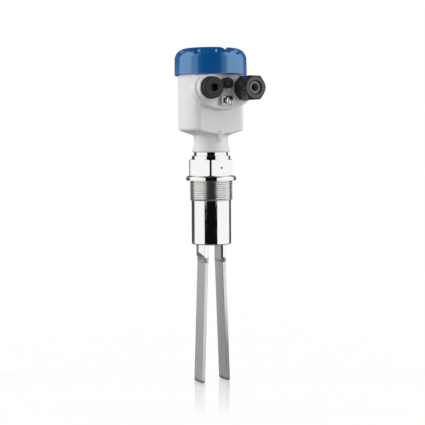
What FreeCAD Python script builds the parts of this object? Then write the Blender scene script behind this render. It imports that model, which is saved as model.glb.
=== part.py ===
import FreeCAD, Part
import Sketcher
import math
import os

# A vibrating fork level switch. The frame stands on the axis of the process thread, at the
# sealing face under the collar: +Z is up, the cable entries face -Y, the tines part along X.
# Lengths are millimetres and angles are degrees.

SIZES = {
    # Process fitting, from the sealing face up and down
    "thread_radius": 23.9,
    "thread_length": 22,
    "thread_chamfer_width": 2.3,
    "thread_chamfer_height": 3,
    "collar_radius": 27.4,
    "collar_height": 5,
    "collar_round": 1.6,
    "hex_across": 47,
    "hex_height": 18,
    "hex_corner_drop": 0.7,
    "hex_corner_cut": 0.6,
    "mark_radius": 1.2,
    "mark_depth": 0.5,
    "lower_step_radius": 21.1,
    "lower_step_height": 4,
    "upper_step_radius": 18.7,
    "upper_step_height": 4,
    "spigot_radius": 14.3,
    "spigot_lead_in": 1,
    "spigot_end": 2,
    "lead_bore_radius": 5,
    "pilot_height": 5,
    "pilot_wall": 3,
    # Room between pieces
    "weld_gap": 0.05,
    "turning_gap": 0.4,
    "screw_gap": 0.3,
    "seat_gap": 0.1,
    # Swivel: seal and snap ring between spigot and neck
    "seal_ring_height": 9,
    "seal_ring_radius": 1.3,
    "seal_groove_room": 0.4,
    "snap_ring_thickness": 1.2,
    "snap_ring_depth": 1.3,
    "snap_ring_reach": 1.4,
    "snap_ring_opening": 40,
    # Sensor tube and diaphragm
    "tube_radius": 21.7,
    "tube_wall": 2,
    "tube_length": 48,
    "tube_edge_round": 1.7,
    "diaphragm_thickness": 2,
    "diaphragm_rim_height": 6,
    "diaphragm_rim_wall": 2,
    # Fork
    "root_radius": 16.6,
    "root_gap": 15.6,
    "root_length": 17,
    "root_slope_start": 8.6,
    "root_slope_end": 14.7,
    "root_slope_depth": 4.1,
    "tine_width": 18,
    "tine_thickness": 4,
    "tine_length": 135.4,
    "tine_top_gap": 17.7,
    "tine_tip_gap": 27.6,
    "tine_tip_round": 0.8,
    "tine_edge_round": 0.4,
    # Piezo drive on the diaphragm
    "stud_radius": 3,
    "stack_radius": 7,
    "stack_room": 0.2,
    "sleeve_height": 8,
    "insulator_thickness": 1.2,
    "piezo_thickness": 2,
    "piezo_count": 4,
    "electrode_thickness": 0.3,
    "electrode_tab": 3,
    "nut_across": 11,
    "nut_height": 5,
    "stud_end": 2,
    "lead_radius": 1.6,
    # Housing, heights above the foot of its neck
    "neck_flange_radius": 20.7,
    "neck_flange_height": 2,
    "neck_radius": 18.65,
    "neck_taper_height": 9,
    "neck_flange_round": 1,
    "neck_taper_round": 7,
    "neck_height": 18.1,
    "neck_round": 4,
    "swivel_height": 17,
    "shoulder_height": 23.7,
    "shoulder_round": 3.5,
    "body_draft": 0.5,
    "rim_height": 98,
    "housing_wall": 3,
    "floor_height": 26.5,
    "flat_distance": 23.3,
    "flat_width": 51,
    "flat_side_angle": 40,
    "flat_round": 4,
    "ledge_height": 82,
    "rib_thickness": 3.8,
    "rib_low_height": 12.5,
    "rib_low_reach": 20.2,
    "rib_high_height": 22.5,
    "rib_high_reach": 25,
    "rib_round": 1.5,
    # Entry plateau on the front
    "entry_offset": 20.5,
    "entry_bore_radius": 10,
    "entry_depth": 12,
    "wire_hole_radius": 6,
    "plateau_distance": 32,
    "plateau_radius": 16.4,
    "plateau_drop": 22.9,
    "plateau_round": 1.5,
    "boss_radius": 13.8,
    "boss_height": 5.5,
    "boss_round": 0.8,
    # Lid and its seal
    "lid_radius": 39.5,
    "lid_wall": 3.1,
    "lid_draft": 0.5,
    "lid_ledge_gap": 0.8,
    "lid_height": 12,
    "lid_lip_round": 1.5,
    "lid_shoulder_round": 12,
    "lid_thread_gap": 0.5,
    "lid_land": 2.5,
    "lid_dish_depth": 8,
    "lid_dish_round": 3,
    "lid_dish_wall": 3,
    "lid_clock_angle": 2.5,
    "notch_width": 11,
    "notch_depth": 7.6,
    "notch_round": 0.8,
    "dimple_count": 10,
    "dimple_radius": 6,
    "dimple_depth": 1.5,
    "dimple_angle": 40,
    "lid_seal_thickness": 2,
    "lid_seal_inset": 0.3,
    # Blind plug
    "seal_thickness": 1.5,
    "plug_radius": 11.5,
    "plug_head_height": 6.3,
    "plug_chamfer": 1.2,
    "plug_socket_across": 8,
    "plug_socket_depth": 7,
    "plug_stub_length": 9,
    "plug_hollow_radius": 6.5,
    "plug_hollow_depth": 6,
    "seal_overhang": 0.6,
    # Cable gland
    "gland_across": 25,
    "gland_hex_height": 5.5,
    "gland_corner_drop": 0.5,
    "gland_neck_radius": 9.3,
    "gland_neck_length": 12,
    "gland_bore_radius": 7,
    "gland_nut_gap": 1.5,
    "gland_nut_height": 15,
    "gland_nut_round": 3.5,
    "gland_mouth_radius": 7.3,
    "insert_bore_radius": 4.1,
    "insert_flange_height": 1.4,
    "insert_sleeve_length": 9,
    # Filter element
    "filter_drop": 8.5,
    "filter_gap": 0.9,
    "filter_reach": 9.5,
    "filter_round": 2.2,
    "filter_groove": 0.7,
    "filter_stub_radius": 3.7,
    "filter_stub_length": 8,
    # Earth terminal
    "earth_drop": 13.2,
    "earth_width": 13,
    "earth_depth": 10,
    "earth_sheet": 1.2,
    "earth_leg_height": 5,
    "saddle_gap": 0.5,
    "saddle_height": 3.6,
    "earth_screw_radius": 2,
    "earth_screw_length": 11,
    "earth_head_radius": 4,
    "earth_head_height": 3,
    "earth_slot_width": 1.1,
    "earth_slot_depth": 1.3,
    # Electronics insert
    "insert_room": 0.4,
    "module_height": 28,
    "module_edge": 1,
    "terminal_count": 5,
    "terminal_pitch": 8,
    "terminal_depth": 13,
    "terminal_height": 11,
    "terminal_setback": 6,
    "terminal_mouth": 4.4,
    "terminal_mouth_depth": 6,
    "terminal_screw_radius": 2.2,
    "terminal_screw_height": 4,
    "terminal_slot": 0.8,
    "lamp_radius": 2.5,
    "lamp_height": 5,
    "lamp_across": -12,
    "control_setback": -9,
    "switch_width": 5,
    "switch_depth": 3,
    "switch_height": 3.5,
    "switch_travel": 2.5,
    "adjuster_across": 13,
    "adjuster_radius": 4,
    "adjuster_height": 5,
    "control_sink": 2.5,
    "fixing_across": 25,
    "fixing_setback": 3,
    "fixing_radius": 1.5,
    "fixing_head_radius": 3,
    "fixing_head_height": 2.4,
    "fixing_grip": 3.5,
}

COS30 = math.cos(math.radians(30))


class Size:
    """A number that remembers the sheet cells that it is worked out from."""

    def __init__(self, value, text):
        self.value = value
        self.text = text

    def __add__(self, other):
        other = as_size(other)
        return Size(self.value + other.value, f"({self.text} + {other.text})")

    def __sub__(self, other):
        other = as_size(other)
        return Size(self.value - other.value, f"({self.text} - {other.text})")

    def __mul__(self, other):
        other = as_size(other)
        return Size(self.value * other.value, f"({self.text} * {other.text})")

    def __truediv__(self, other):
        other = as_size(other)
        return Size(self.value / other.value, f"({self.text} / {other.text})")

    def __neg__(self):
        return Size(-self.value, f"(0 - {self.text})")


def as_size(value):
    return value if isinstance(value, Size) else Size(float(value), f"({float(value)!r})")


def root(square):
    return Size(math.sqrt(square.value), f"sqrt({square.text})")


def cosine(angle):
    return Size(math.cos(math.radians(angle.value)), f"cos({angle.text} * 1 deg)")


def sine(angle):
    return Size(math.sin(math.radians(angle.value)), f"sin({angle.text} * 1 deg)")


class Cells:
    """The sheet's named cells, each as a Size."""


doc = FreeCAD.newDocument("fork_level_switch")
sheet = doc.addObject("Spreadsheet::Sheet", "Sizes")
size = Cells()
for row, (word, number) in enumerate(SIZES.items(), start=1):
    sheet.set(f"A{row}", word.replace("_", " "))
    sheet.set(f"B{row}", str(number))
    sheet.setAlias(f"B{row}", word)
    setattr(size, word, Size(float(number), f"Sizes.{word}"))
doc.recompute()

ZERO = as_size(0)
NODES = []

# Levels along the axis
hex_top = size.collar_height + size.hex_height
neck_foot = hex_top + size.lower_step_height + size.upper_step_height
swivel_level = neck_foot + size.swivel_height
ledge_level = neck_foot + size.ledge_height
rim_level = neck_foot + size.rim_height
floor_level = neck_foot + size.floor_height
module_top = floor_level + size.module_height
entry_level = ledge_level - size.boss_radius
filter_level = ledge_level - size.filter_drop
earth_level = entry_level - size.earth_drop
lid_seat = rim_level + size.lid_seal_thickness
lid_foot = ledge_level + size.lid_ledge_gap
tube_foot = -(size.thread_length + size.tube_length)
root_foot = tube_foot - size.root_length
stack_foot = tube_foot + size.diaphragm_thickness

# Fits that two pieces share
neck_bore = size.spigot_radius + size.turning_gap
tube_bore = size.tube_radius - size.tube_wall
stack_bore = size.stud_radius + size.stack_room
lid_bore = size.lid_radius - size.lid_wall
body_radius = lid_bore - size.lid_thread_gap
body_low_radius = body_radius - size.body_draft
cavity_radius = body_low_radius - size.housing_wall
cavity_flat = size.flat_distance - size.housing_wall
stub_radius = size.entry_bore_radius - size.screw_gap
boss_face = size.plateau_distance + size.boss_height
filter_radius = size.entry_offset - size.boss_radius - size.filter_gap
snap_outer = size.spigot_radius + size.snap_ring_reach
snap_room = snap_outer + size.turning_gap
earth_hole = size.earth_screw_radius + size.screw_gap
lead_hole = size.lead_radius + size.turning_gap
control_hole = size.adjuster_radius + size.screw_gap
fixing_hole = size.fixing_radius + size.seat_gap


def bind(thing, place, value):
    thing.setExpression(place, as_size(value).text)


def new_body(name):
    body = doc.addObject("PartDesign::Body", name)
    body.Label = name
    NODES.append(body)
    return body


def place(body, across, along, up, facing_front=False):
    """Puts a body at a point. One that faces the front is turned so that its Z looks along -Y."""
    turn = FreeCAD.Rotation(FreeCAD.Vector(1, 0, 0), 90 if facing_front else 0)
    body.Placement = FreeCAD.Placement(FreeCAD.Vector(), turn)
    bind(body, "Placement.Base.x", across)
    bind(body, "Placement.Base.y", along)
    bind(body, "Placement.Base.z", up)


def origin_part(body, role):
    return next(part for part in body.Origin.OriginFeatures if part.Role == role)


def new_sketch(body, name, plane, height=None):
    sketch = body.newObject("Sketcher::SketchObject", name)
    sketch.AttachmentSupport = (origin_part(body, plane), [""])
    sketch.MapMode = "FlatFace"
    if height is not None:
        bind(sketch, "AttachmentOffset.Base.z", height)
    return sketch


def constrain(sketch, kind, *args):
    return sketch.addConstraint(Sketcher.Constraint(kind, *args))


def bind_constraint(sketch, kind, geometry, value):
    index = constrain(sketch, kind, *geometry, value.value)
    bind(sketch, f"Constraints[{index}]", value)


def pin_point(sketch, geometry, point, across, up):
    """Holds a point of the sketch at its two distances from the sketch's origin."""
    for kind, axis, value in (("DistanceX", -2, across), ("DistanceY", -1, up)):
        if value is ZERO:
            constrain(sketch, "PointOnObject", geometry, point, axis)
        else:
            bind_constraint(sketch, kind, (-1, 1, geometry, point), value)


def add_circle(sketch, radius, across=ZERO, up=ZERO):
    centre = FreeCAD.Vector(across.value, up.value, 0)
    circle = sketch.addGeometry(Part.Circle(centre, FreeCAD.Vector(0, 0, 1), radius.value))
    bind_constraint(sketch, "Radius", (circle,), radius)
    if across is ZERO and up is ZERO:
        constrain(sketch, "Coincident", circle, 3, -1, 1)
    else:
        pin_point(sketch, circle, 3, across, up)


def rounding(before, corner, after, radius):
    """Where an arc of this radius leaves and joins the two sides of a corner, and its centre."""
    towards = (before - corner).normalize()
    onwards = (after - corner).normalize()
    half = towards.getAngle(onwards) / 2
    reach = radius / math.tan(half)
    centre = corner + (towards + onwards).normalize() * (radius / math.sin(half))
    return corner + towards * reach, corner + onwards * reach, centre


def add_outline(sketch, corners):
    """A closed outline. A corner is (across, up), or (across, up, radius) where it is rounded."""
    corners = [tuple(as_size(v) if v is not ZERO else v for v in corner) for corner in corners]
    points = [FreeCAD.Vector(c[0].value, c[1].value, 0) for c in corners]
    count = len(corners)
    arrive = list(points)
    leave = list(points)
    centres = [None] * count
    for i, corner in enumerate(corners):
        if len(corner) == 3:
            around = (points[i - 1], points[i], points[(i + 1) % count])
            arrive[i], leave[i], centres[i] = rounding(*around, corner[2].value)
    lines = [
        sketch.addGeometry(Part.LineSegment(leave[i], arrive[(i + 1) % count]))
        for i in range(count)
    ]
    for i, corner in enumerate(corners):
        line_in = lines[i - 1]
        line_out = lines[i]
        if centres[i] is None:
            constrain(sketch, "Coincident", line_in, 2, line_out, 1)
            pin_point(sketch, line_out, 1, corner[0], corner[1])
            continue
        start = math.atan2(arrive[i].y - centres[i].y, arrive[i].x - centres[i].x)
        end = math.atan2(leave[i].y - centres[i].y, leave[i].x - centres[i].x)
        first, last = 1, 2
        if (end - start) % math.tau > math.pi:
            start, end = end, start
            first, last = 2, 1
        circle = Part.Circle(centres[i], FreeCAD.Vector(0, 0, 1), corner[2].value)
        arc = sketch.addGeometry(Part.ArcOfCircle(circle, start, end))
        constrain(sketch, "Tangent", line_in, 2, arc, first)
        constrain(sketch, "Tangent", arc, last, line_out, 1)
        bind_constraint(sketch, "Radius", (arc,), corner[2])
        mark = sketch.addGeometry(Part.Point(points[i]), True)
        pin_point(sketch, mark, 1, corner[0], corner[1])
        constrain(sketch, "PointOnObject", mark, 1, line_in)
        constrain(sketch, "PointOnObject", mark, 1, line_out)


def outline(body, name, plane, corners, height=None):
    sketch = new_sketch(body, name, plane, height)
    add_outline(sketch, corners)
    return sketch


def rectangle(left, right, low, high):
    return [(left, low), (right, low), (right, high), (left, high)]


def slot_outline(body, name, width, radius, height):
    """A screwdriver slot right across a round head."""
    half = width / 2
    return outline(body, name, "XY_Plane", rectangle(-(radius * 2), radius * 2, -half, half), height)


def hexagon(across, corner_up=False):
    """Corners of a hexagon, with flats or corners above and below."""
    reach = across / (2 * COS30)
    half = reach / 2
    side = across / 2
    if corner_up:
        return [(ZERO, reach), (-side, half), (-side, -half), (ZERO, -reach), (side, -half), (side, half)]
    return [(reach, ZERO), (half, side), (-half, side), (-reach, ZERO), (-half, -side), (half, -side)]


def settled(body, feature, cuts):
    """Recomputes, and checks that a feature has added or taken away material."""
    before = body.Shape.Volume if body.Tip and not body.Shape.isNull() else 0.0
    body.Tip = feature
    doc.recompute()
    change = body.Shape.Volume - before
    if feature.isValid() is False or (change >= 0) == cuts or abs(change) < 1e-6:
        raise RuntimeError(f"{feature.Name} changed the volume by {change}")
    return feature


def turn(body, name, corners, cuts=False):
    """Turns a half section, drawn as radius and height, about the body's Z."""
    sketch = outline(body, name + "_section", "XZ_Plane", corners)
    kind = "PartDesign::Groove" if cuts else "PartDesign::Revolution"
    feature = body.newObject(kind, name)
    feature.Profile = sketch
    feature.ReferenceAxis = (sketch, ["V_Axis"])
    feature.Angle = 360
    return settled(body, feature, cuts)


def extrude(body, name, sketch, length, cuts=False, back=False, both_ways=False):
    """A pad along the sketch's normal, or a pocket against it. back turns that round."""
    feature = body.newObject("PartDesign::Pocket" if cuts else "PartDesign::Pad", name)
    feature.Profile = sketch
    bind(feature, "Length", length)
    feature.Reversed = back
    if both_ways:
        feature.SideType = "Symmetric"
    return settled(body, feature, cuts)


def drill(body, name, radius, top, depth, across=ZERO, up=ZERO):
    """A round hole down from a height along the body's Z."""
    sketch = new_sketch(body, name + "_mouth", "XY_Plane", top)
    add_circle(sketch, radius, across, up)
    return extrude(body, name, sketch, depth, cuts=True)


def trim_to_hexagon(body, name, across, low, height):
    """Cuts six flats between two heights."""
    sketch = new_sketch(body, name + "_flats", "XY_Plane", low)
    add_circle(sketch, across)
    add_outline(sketch, hexagon(across))
    return extrude(body, name, sketch, height, cuts=True, back=True)


def hex_section(across, low, high, drop, inner):
    """Half section of a hexagon blank, with the turned slope that breaks its corners."""
    corner = across / (2 * COS30)
    flat = across / 2
    return [
        (inner, low),
        (flat, low),
        (corner, low + drop),
        (corner, high - drop),
        (flat, high),
        (inner, high),
    ]


def round_edges(body, name, radius, wanted):
    """Rounds the edges that the test picks out."""
    base = body.Tip
    edges = [f"Edge{i}" for i, edge in enumerate(base.Shape.Edges, start=1) if wanted(edge)]
    feature = body.newObject("PartDesign::Fillet", name)
    feature.Base = (base, edges)
    bind(feature, "Radius", radius)
    body.Tip = feature
    doc.recompute()
    return feature


def pattern(body, name, feature, count):
    """Repeats a feature evenly about the body's Z."""
    copies = body.newObject("PartDesign::PolarPattern", name)
    copies.Originals = [feature]
    copies.Axis = (origin_part(body, "Z_Axis"), [""])
    copies.Angle = 360
    bind(copies, "Occurrences", count)
    body.Tip = copies
    doc.recompute()
    return copies


def ring(body, name, inner, outer, low, high):
    return turn(body, name, rectangle(inner, outer, low, high))


def group(name, members):
    """One node of several separate solids."""
    compound = doc.addObject("Part::Compound", name)
    compound.Label = name
    compound.Links = members
    for member in members:
        NODES.remove(member)
    NODES.append(compound)
    return compound


def process_fitting():
    body = new_body("process_fitting")
    pilot = tube_bore - size.weld_gap
    foot = -size.thread_length
    blank = size.hex_across / (2 * COS30) - size.hex_corner_cut
    flat = size.hex_across / 2
    ring_centre = neck_foot + size.seal_ring_height
    groove_half = size.seal_ring_radius + size.seal_groove_room / 2
    groove_floor = size.spigot_radius - size.seal_ring_radius * 2 + size.turning_gap / 4
    snap_low = swivel_level
    snap_high = swivel_level + size.snap_ring_thickness + size.seat_gap
    snap_floor = size.spigot_radius - size.snap_ring_depth
    spigot_top = snap_high + size.spigot_end
    turn(body, "fitting_blank", [
        (size.lead_bore_radius, foot),
        (pilot - size.pilot_wall, foot),
        (pilot - size.pilot_wall, foot - size.pilot_height),
        (pilot, foot - size.pilot_height),
        (pilot, foot),
        (size.thread_radius - size.thread_chamfer_width, foot),
        (size.thread_radius, foot + size.thread_chamfer_height),
        (size.thread_radius, ZERO),
        (size.collar_radius, ZERO),
        (size.collar_radius, size.collar_height, size.collar_round),
        (flat, size.collar_height),
        (blank, size.collar_height + size.hex_corner_drop),
        (blank, hex_top - size.hex_corner_drop),
        (flat, hex_top),
        (size.lower_step_radius, hex_top),
        (size.lower_step_radius, hex_top + size.lower_step_height),
        (size.upper_step_radius, hex_top + size.lower_step_height),
        (size.upper_step_radius, neck_foot),
        (size.spigot_radius, neck_foot),
        (size.spigot_radius, ring_centre - groove_half),
        (groove_floor, ring_centre - groove_half),
        (groove_floor, ring_centre + groove_half),
        (size.spigot_radius, ring_centre + groove_half),
        (size.spigot_radius, snap_low),
        (snap_floor, snap_low),
        (snap_floor, snap_high),
        (size.spigot_radius, snap_high),
        (size.spigot_radius, spigot_top - size.spigot_lead_in),
        (size.spigot_radius - size.spigot_lead_in, spigot_top),
        (size.lead_bore_radius, spigot_top),
    ])
    trim_to_hexagon(body, "hex_flats", size.hex_across, size.collar_height, size.hex_height)
    mark = new_sketch(body, "mark_mouth", "XZ_Plane", flat)
    add_circle(mark, size.mark_radius, ZERO, size.collar_height + size.hex_height / 2)
    extrude(body, "orientation_mark", mark, size.mark_depth, cuts=True)


def swivel_rings():
    seal = doc.addObject("Part::Torus", "neck_seal")
    seal.Label = "neck_seal"
    bind(seal, "Radius1", size.spigot_radius - size.seal_ring_radius + size.turning_gap / 4)
    bind(seal, "Radius2", size.seal_ring_radius)
    bind(seal, "Placement.Base.z", neck_foot + size.seal_ring_height)
    NODES.append(seal)

    body = new_body("retaining_ring")
    inner = size.spigot_radius - size.snap_ring_depth + size.weld_gap
    low = swivel_level
    ring(body, "snap_ring", inner, snap_outer, low, low + size.snap_ring_thickness)
    half = size.snap_ring_opening / 2
    far = size.spigot_radius * 2
    opening = outline(body, "opening_outline", "XY_Plane", [
        (ZERO, ZERO),
        (far * cosine(half), far * sine(half)),
        (far * cosine(half), -(far * sine(half))),
    ], low)
    extrude(body, "ring_opening", opening, size.snap_ring_thickness, cuts=True, back=True)


def sensor_tube():
    body = new_body("sensor_tube")
    turn(body, "tube_wall_turn", [
        (tube_bore, tube_foot),
        (size.tube_radius, tube_foot, size.tube_edge_round),
        (size.tube_radius, -size.thread_length),
        (tube_bore, -size.thread_length),
    ])


def fork_membrane():
    """The diaphragm that closes the tube, with the two roots that carry the tines."""
    body = new_body("fork_membrane")
    rim = tube_bore - size.weld_gap
    hollow = rim - size.diaphragm_rim_wall
    turn(body, "diaphragm", [
        (ZERO, tube_foot),
        (rim, tube_foot),
        (rim, tube_foot + size.diaphragm_rim_height),
        (hollow, tube_foot + size.diaphragm_rim_height),
        (hollow, stack_foot),
        (ZERO, stack_foot),
    ])
    root_disc = new_sketch(body, "root_disc", "XY_Plane", tube_foot)
    add_circle(root_disc, size.root_radius)
    extrude(body, "root_column", root_disc, size.root_length, back=True)
    half_gap = size.root_gap / 2
    half_width = size.tine_width / 2
    far = size.root_radius + size.tine_thickness
    between = rectangle(-half_gap, half_gap, -far, far)
    fork_slot = outline(body, "slot_outline", "XY_Plane", between, tube_foot)
    extrude(body, "fork_slot", fork_slot, size.root_length, cuts=True)
    for side, sign in (("front", -1), ("rear", 1)):
        near = half_width * sign
        away = far * sign
        cheek = outline(body, side + "_outline", "XY_Plane", rectangle(-far, far, near, away), tube_foot)
        extrude(body, side + "_cheek", cheek, size.root_length, cuts=True)
    slope_top = tube_foot - size.root_slope_start
    slope_foot = tube_foot - size.root_slope_end
    ledge = size.root_radius - size.root_slope_depth
    for side, sign in (("left", -1), ("right", 1)):
        slope = outline(body, side + "_slope_outline", "XZ_Plane", [
            (size.root_radius * sign, slope_top),
            (far * sign, slope_top),
            (far * sign, root_foot - size.tine_thickness),
            (ledge * sign, root_foot - size.tine_thickness),
            (ledge * sign, slope_foot),
        ])
        extrude(body, side + "_slope", slope, far * 2, cuts=True, both_ways=True)


def tine(name, sign):
    """One flat blade. It leans outwards and its foot is rounded across its width."""
    body = new_body(name)
    tip = root_foot - size.tine_length
    top_inner = size.tine_top_gap / 2 * sign
    tip_inner = size.tine_tip_gap / 2 * sign
    side = outline(body, name + "_side", "XZ_Plane", [
        (top_inner, root_foot),
        (top_inner + size.tine_thickness * sign, root_foot),
        (tip_inner + size.tine_thickness * sign, tip),
        (tip_inner, tip),
    ])
    extrude(body, name + "_blade", side, size.tine_width, both_ways=True)
    half_width = size.tine_width.value / 2

    def tip_corner(edge):
        ends = [vertex.Point for vertex in edge.Vertexes]
        low = all(abs(end.z - tip.value) < 1e-3 for end in ends)
        return low and abs(ends[0].y - ends[1].y) < 1e-3 and abs(abs(ends[0].y) - half_width) < 1e-3

    round_edges(body, name + "_tip", size.tine_tip_round, tip_corner)

    def long_edge(edge):
        ends = [vertex.Point for vertex in edge.Vertexes]
        return abs(ends[0].z - ends[-1].z) > size.tine_length.value / 2

    round_edges(body, name + "_edges", size.tine_edge_round, long_edge)


def stack_levels():
    """Heights of the drive's layers, from the diaphragm up: (kind, foot, top)."""
    level = stack_foot
    layers = [("sleeve", size.sleeve_height), ("insulator", size.insulator_thickness)]
    for _ in range(int(size.piezo_count.value)):
        layers += [("electrode", size.electrode_thickness), ("piezo", size.piezo_thickness)]
    layers += [("insulator", size.insulator_thickness)]
    levels = []
    for kind, thickness in layers:
        levels.append((kind, level, level + thickness))
        level = level + thickness
    return levels


def piezo_drive():
    levels = stack_levels()
    stack_top = levels[-1][2]
    rings = {"sleeve": [], "insulator": [], "electrode": [], "piezo": []}
    for kind, low, high in levels:
        number = len(rings[kind]) + 1
        name = "drive_sleeve" if kind == "sleeve" else f"{kind}_{number}"
        body = new_body(name)
        ring(body, f"{kind}_ring_{number}", stack_bore, size.stack_radius, low, high)
        if kind == "electrode":
            edge = size.stack_radius
            half = size.electrode_tab / 2
            reach = rectangle(edge - half, edge + size.electrode_tab, -half, half)
            tab = outline(body, f"tab_outline_{number}", "XY_Plane", reach, low)
            extrude(body, f"tab_{number}", tab, size.electrode_thickness)
        rings[kind].append(body)
    group("insulating_washers", rings["insulator"])
    group("electrode_plates", rings["electrode"])
    group("piezo_rings", rings["piezo"])

    stud_top = stack_top + size.nut_height + size.stud_end
    stud = new_body("drive_bolt")
    ring(stud, "stud", ZERO, size.stud_radius, stack_foot, stud_top)
    nut = new_body("drive_nut")
    nut_top = stack_top + size.nut_height
    section = hex_section(size.nut_across, stack_top, nut_top, size.gland_corner_drop, stack_bore)
    turn(nut, "nut_blank", section)
    trim_to_hexagon(nut, "nut_flats", size.nut_across, stack_top, size.nut_height)
    lead = new_body("drive_lead")
    ring(lead, "lead", ZERO, size.lead_radius, stud_top, floor_level + size.module_height / 2)


def plateau_outline(sketch):
    """Two discs round the entries, joined below by one broad tangent arc and cut off flat above."""
    rise = ledge_level - entry_level
    across = size.entry_offset
    wide = size.plateau_radius
    chord = root(wide * wide - rise * rise)
    drop = size.plateau_drop
    reach = (across * across + (drop - wide) * (drop - wide)) / ((drop - wide) * 2)
    broad = reach + wide
    z_axis = FreeCAD.Vector(0, 0, 1)
    right_centre = FreeCAD.Vector(across.value, entry_level.value, 0)
    left_centre = FreeCAD.Vector(-across.value, entry_level.value, 0)
    broad_centre = FreeCAD.Vector(0, entry_level.value - drop.value + broad.value, 0)
    joint = math.atan2(right_centre.y - broad_centre.y, right_centre.x - broad_centre.x)
    top = math.asin(rise.value / wide.value)
    right_circle = Part.Circle(right_centre, z_axis, wide.value)
    left_circle = Part.Circle(left_centre, z_axis, wide.value)
    broad_circle = Part.Circle(broad_centre, z_axis, broad.value)
    right = sketch.addGeometry(Part.ArcOfCircle(right_circle, joint, top))
    left = sketch.addGeometry(Part.ArcOfCircle(left_circle, math.pi - top, math.pi - joint))
    foot = sketch.addGeometry(Part.ArcOfCircle(broad_circle, -math.pi - joint, joint))
    roof_right = FreeCAD.Vector(across.value + chord.value, ledge_level.value, 0)
    roof_left = FreeCAD.Vector(-across.value - chord.value, ledge_level.value, 0)
    roof = sketch.addGeometry(Part.LineSegment(roof_right, roof_left))
    constrain(sketch, "Coincident", roof, 1, right, 2)
    constrain(sketch, "Coincident", roof, 2, left, 1)
    constrain(sketch, "Tangent", foot, 2, right, 1)
    constrain(sketch, "Tangent", foot, 1, left, 2)
    pin_point(sketch, right, 3, across, entry_level)
    pin_point(sketch, left, 3, -across, entry_level)
    bind_constraint(sketch, "Radius", (foot,), broad)
    pin_point(sketch, roof, 1, across + chord, ledge_level)
    pin_point(sketch, roof, 2, -(across + chord), ledge_level)


def on_plane(edge, axis, level):
    """True for an edge that lies at one level along an axis."""
    box = edge.BoundBox
    low, high = {"y": (box.YMin, box.YMax), "z": (box.ZMin, box.ZMax)}[axis]
    return abs(low - level) < 1e-3 and abs(high - level) < 1e-3


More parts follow.
